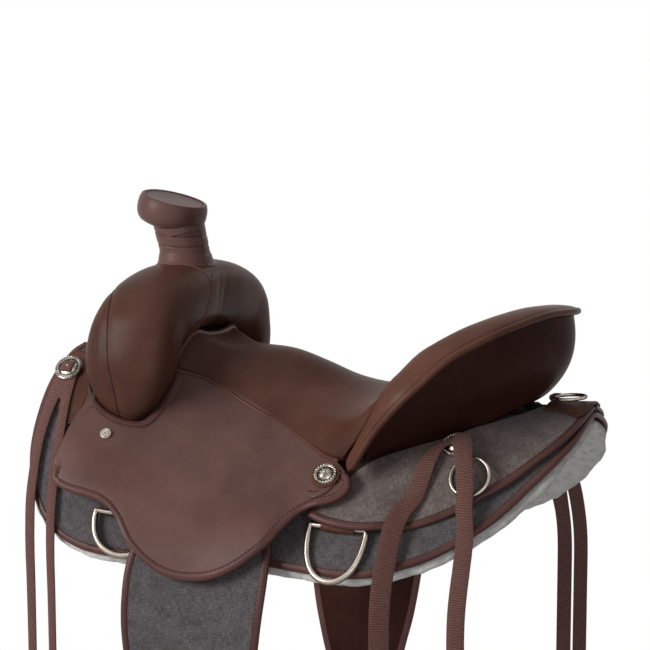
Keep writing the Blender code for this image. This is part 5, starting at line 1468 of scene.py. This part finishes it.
# saddle strings of ribbed webbing
strings = {
    "thick": 0.0022,
    "near": smoothOutline(
        [(0.178, 0.121, 0), (0.188, 0.109), (0.202, 0.100), (0.224, 0.094, 0), (0.233, 0.110), (0.243, 0.145),
         (0.248, 0.177), (0.255, 0.223), (0.257, 0.330), (0.257, 0.560, 0), (0.238, 0.560, 0), (0.238, 0.330),
         (0.236, 0.223), (0.229, 0.177), (0.224, 0.145), (0.214, 0.118), (0.205, 0.108), (0.198, 0.114),
         (0.193, 0.136), (0.187, 0.165), (0.174, 0.205), (0.174, 0.330), (0.174, 0.540, 0), (0.155, 0.540, 0),
         (0.155, 0.330), (0.154, 0.205), (0.167, 0.165), (0.174, 0.136)], 4),
    "off": smoothOutline(
        [(0.186, 0.121, 0), (0.191, 0.109), (0.203, 0.100), (0.224, 0.094, 0), (0.236, 0.112), (0.250, 0.145),
         (0.258, 0.180), (0.262, 0.223), (0.262, 0.330), (0.262, 0.560, 0), (0.244, 0.560, 0), (0.244, 0.330),
         (0.244, 0.240), (0.2425, 0.215), (0.241, 0.240), (0.241, 0.330), (0.241, 0.540, 0),
         (0.222, 0.540, 0), (0.222, 0.330), (0.221, 0.240), (0.213, 0.200), (0.203, 0.165),
         (0.192, 0.136)], 4),
    "front": smoothOutline(
        [(-0.292, 0.128, 0), (-0.270, 0.124, 0), (-0.264, 0.170), (-0.254, 0.230), (-0.2455, 0.290),
         (-0.239, 0.350), (-0.238, 0.460), (-0.238, 0.620, 0), (-0.248, 0.620, 0), (-0.248, 0.460),
         (-0.250, 0.350), (-0.2575, 0.290), (-0.266, 0.230), (-0.273, 0.185), (-0.279, 0.180),
         (-0.280, 0.230), (-0.274, 0.290), (-0.267, 0.350), (-0.266, 0.460), (-0.266, 0.600, 0),
         (-0.277, 0.600, 0), (-0.277, 0.460), (-0.279, 0.350), (-0.286, 0.290), (-0.292, 0.230),
         (-0.294, 0.175)], 4),
    "over": {"near": 0.200, "off": 0.188},
    "frontLow": tabTop + 0.0010, "rings": [(0, -0.0004, 0), (0.0008, 0.0, 0)],
}


def rearStringLow(x, w, over):
    # its top and its front leg stand off the housing, and its loop clears the concho
    low = housingLow(x, min(w, 0.206)) + shape["housing"] + 0.0018 + 0.0048 * (1 - ease(0.125, 0.165, w))
    low += 0.0030 * ease(0.120, 0.150, w) * (1 - ease(0.200, 0.235, w)) * (1 - ease(0.175, 0.195, x))
    high = max(ease(0.200, 0.214, x) * ease(0.088, 0.100, w),
               ease(over, over + 0.014, x) * ease(0.104, 0.118, w))
    return low + 0.0088 * high * (1 - ease(0.165, 0.200, w))


def hangString(node, side, outline, low, leave, swing):
    # a webbing string that leaves the back at arc length leave
    bm, loops = laySheet(outline, strings["rings"], 0.008, low, lambda x, w: low(x, w) + strings["thick"],
                         lambda x, w, lift: drapePoint(x, w, lift, side, leave, swing))
    place(node + "_web", bm, "webbing", node, [node], 50)


for word, side in sides:
    hangString("rear_string_" + word, side, strings[word],
               lambda x, w: rearStringLow(x, w, strings["over"][word]), 0.24, 0.080)
    hangString("front_string_" + word, side, strings["front"], lambda x, w: strings["frontLow"], 0.27, 0.110)
print("strings made")

# floor, lights and camera
stage = {"floorZ": -0.715, "floorRadius": 1.35, "fadeFrom": 0.55, "ambient": 0.11, "distance": 2.5,
         "azimuth": 25.0, "elevation": 8.0, "lens": 117.7}
floorBm = bmesh.new()
bmesh.ops.create_circle(floorBm, cap_ends=True, segments=96, radius=stage["floorRadius"],
                        matrix=Matrix.Translation((0, 0, stage["floorZ"])))
floorMesh = bpy.data.meshes.new("floor")
floorBm.to_mesh(floorMesh)
floorBm.free()
floor = bpy.data.objects.new("floor", floorMesh)
scene.collection.objects.link(floor)
mat, tree, shader = startMaterial("paleFloor", {"Base Color": (0.86, 0.86, 0.86, 1), "Roughness": 0.9,
                                                "Specular IOR Level": 0.1})
at = addNode(tree, "TexCoord")["Object"]
flat = addNode(tree, "VectorMath", {"operation": "MULTIPLY"}, at, (1, 1, 0))[0]
away = addNode(tree, "VectorMath", {"operation": "LENGTH"}, flat)["Value"]
fade = addNode(tree, "MapRange", {"interpolation_type": "SMOOTHSTEP"}, away, stage["fadeFrom"],
               stage["floorRadius"] - 0.02)[0]
clearShader = addNode(tree, "BsdfTransparent")[0]
mixed = addNode(tree, "MixShader", None, fade, shader.outputs[0], clearShader)[0]
tree.links.new(mixed, tree.nodes["Material Output"].inputs["Surface"])
floorMesh.materials.append(mat)

# white behind the saddle and in its reflections, dim as a light
world = bpy.data.worlds.new("studio")
scene.world = world
world.use_nodes = True
tree = world.node_tree
rays = addNode(tree, "LightPath")
seen = mathNode(tree, "MAXIMUM", rays["Is Camera Ray"], rays["Is Transmission Ray"])
seen = mathNode(tree, "MAXIMUM", seen, rays["Is Glossy Ray"])
level = addNode(tree, "MapRange", None, seen, 0.0, 1.0, stage["ambient"], 1.0)[0]
tree.links.new(level, tree.nodes["Background"].inputs["Strength"])
tree.nodes["Background"].inputs["Color"].default_value = (1, 1, 1, 1)

# lamps: name, place, width, height and power
lamps = [("key", (-1.7, -2.1, 1.0), 1.4, 1.2, 58.0), ("top", (-0.6, -0.4, 2.4), 1.6, 1.2, 6.0),
         ("frontFill", (1.4, -2.2, 0.4), 1.4, 1.0, 8.0), ("farFill", (0.6, 2.2, 1.4), 1.2, 0.9, 4.0)]
for name, spot, wide, tall, power in lamps:
    data = bpy.data.lights.new(name, "AREA")
    data.shape = "RECTANGLE"
    data.size = wide
    data.size_y = tall
    data.energy = power
    lamp = bpy.data.objects.new(name, data)
    lamp.location = spot
    lamp.rotation_euler = (Vector((0, 0, 0.05)) - Vector(spot)).to_track_quat("-Z", "Y").to_euler()
    scene.collection.objects.link(lamp)

azimuth, elevation = math.radians(stage["azimuth"]), math.radians(stage["elevation"])
away = Vector((math.sin(azimuth) * math.cos(elevation), -math.cos(azimuth) * math.cos(elevation),
               math.sin(elevation)))
cameraData = bpy.data.cameras.new("camera")
cameraData.lens = stage["lens"]
cameraData.sensor_width = 36
cameraData.clip_end = 50
camera = bpy.data.objects.new("camera", cameraData)
camera.location = Vector((0, 0, treeLift)) + away * stage["distance"]
camera.rotation_euler = (-away).to_track_quat("-Z", "Y").to_euler()
scene.collection.objects.link(camera)
scene.camera = camera
print("stage made")
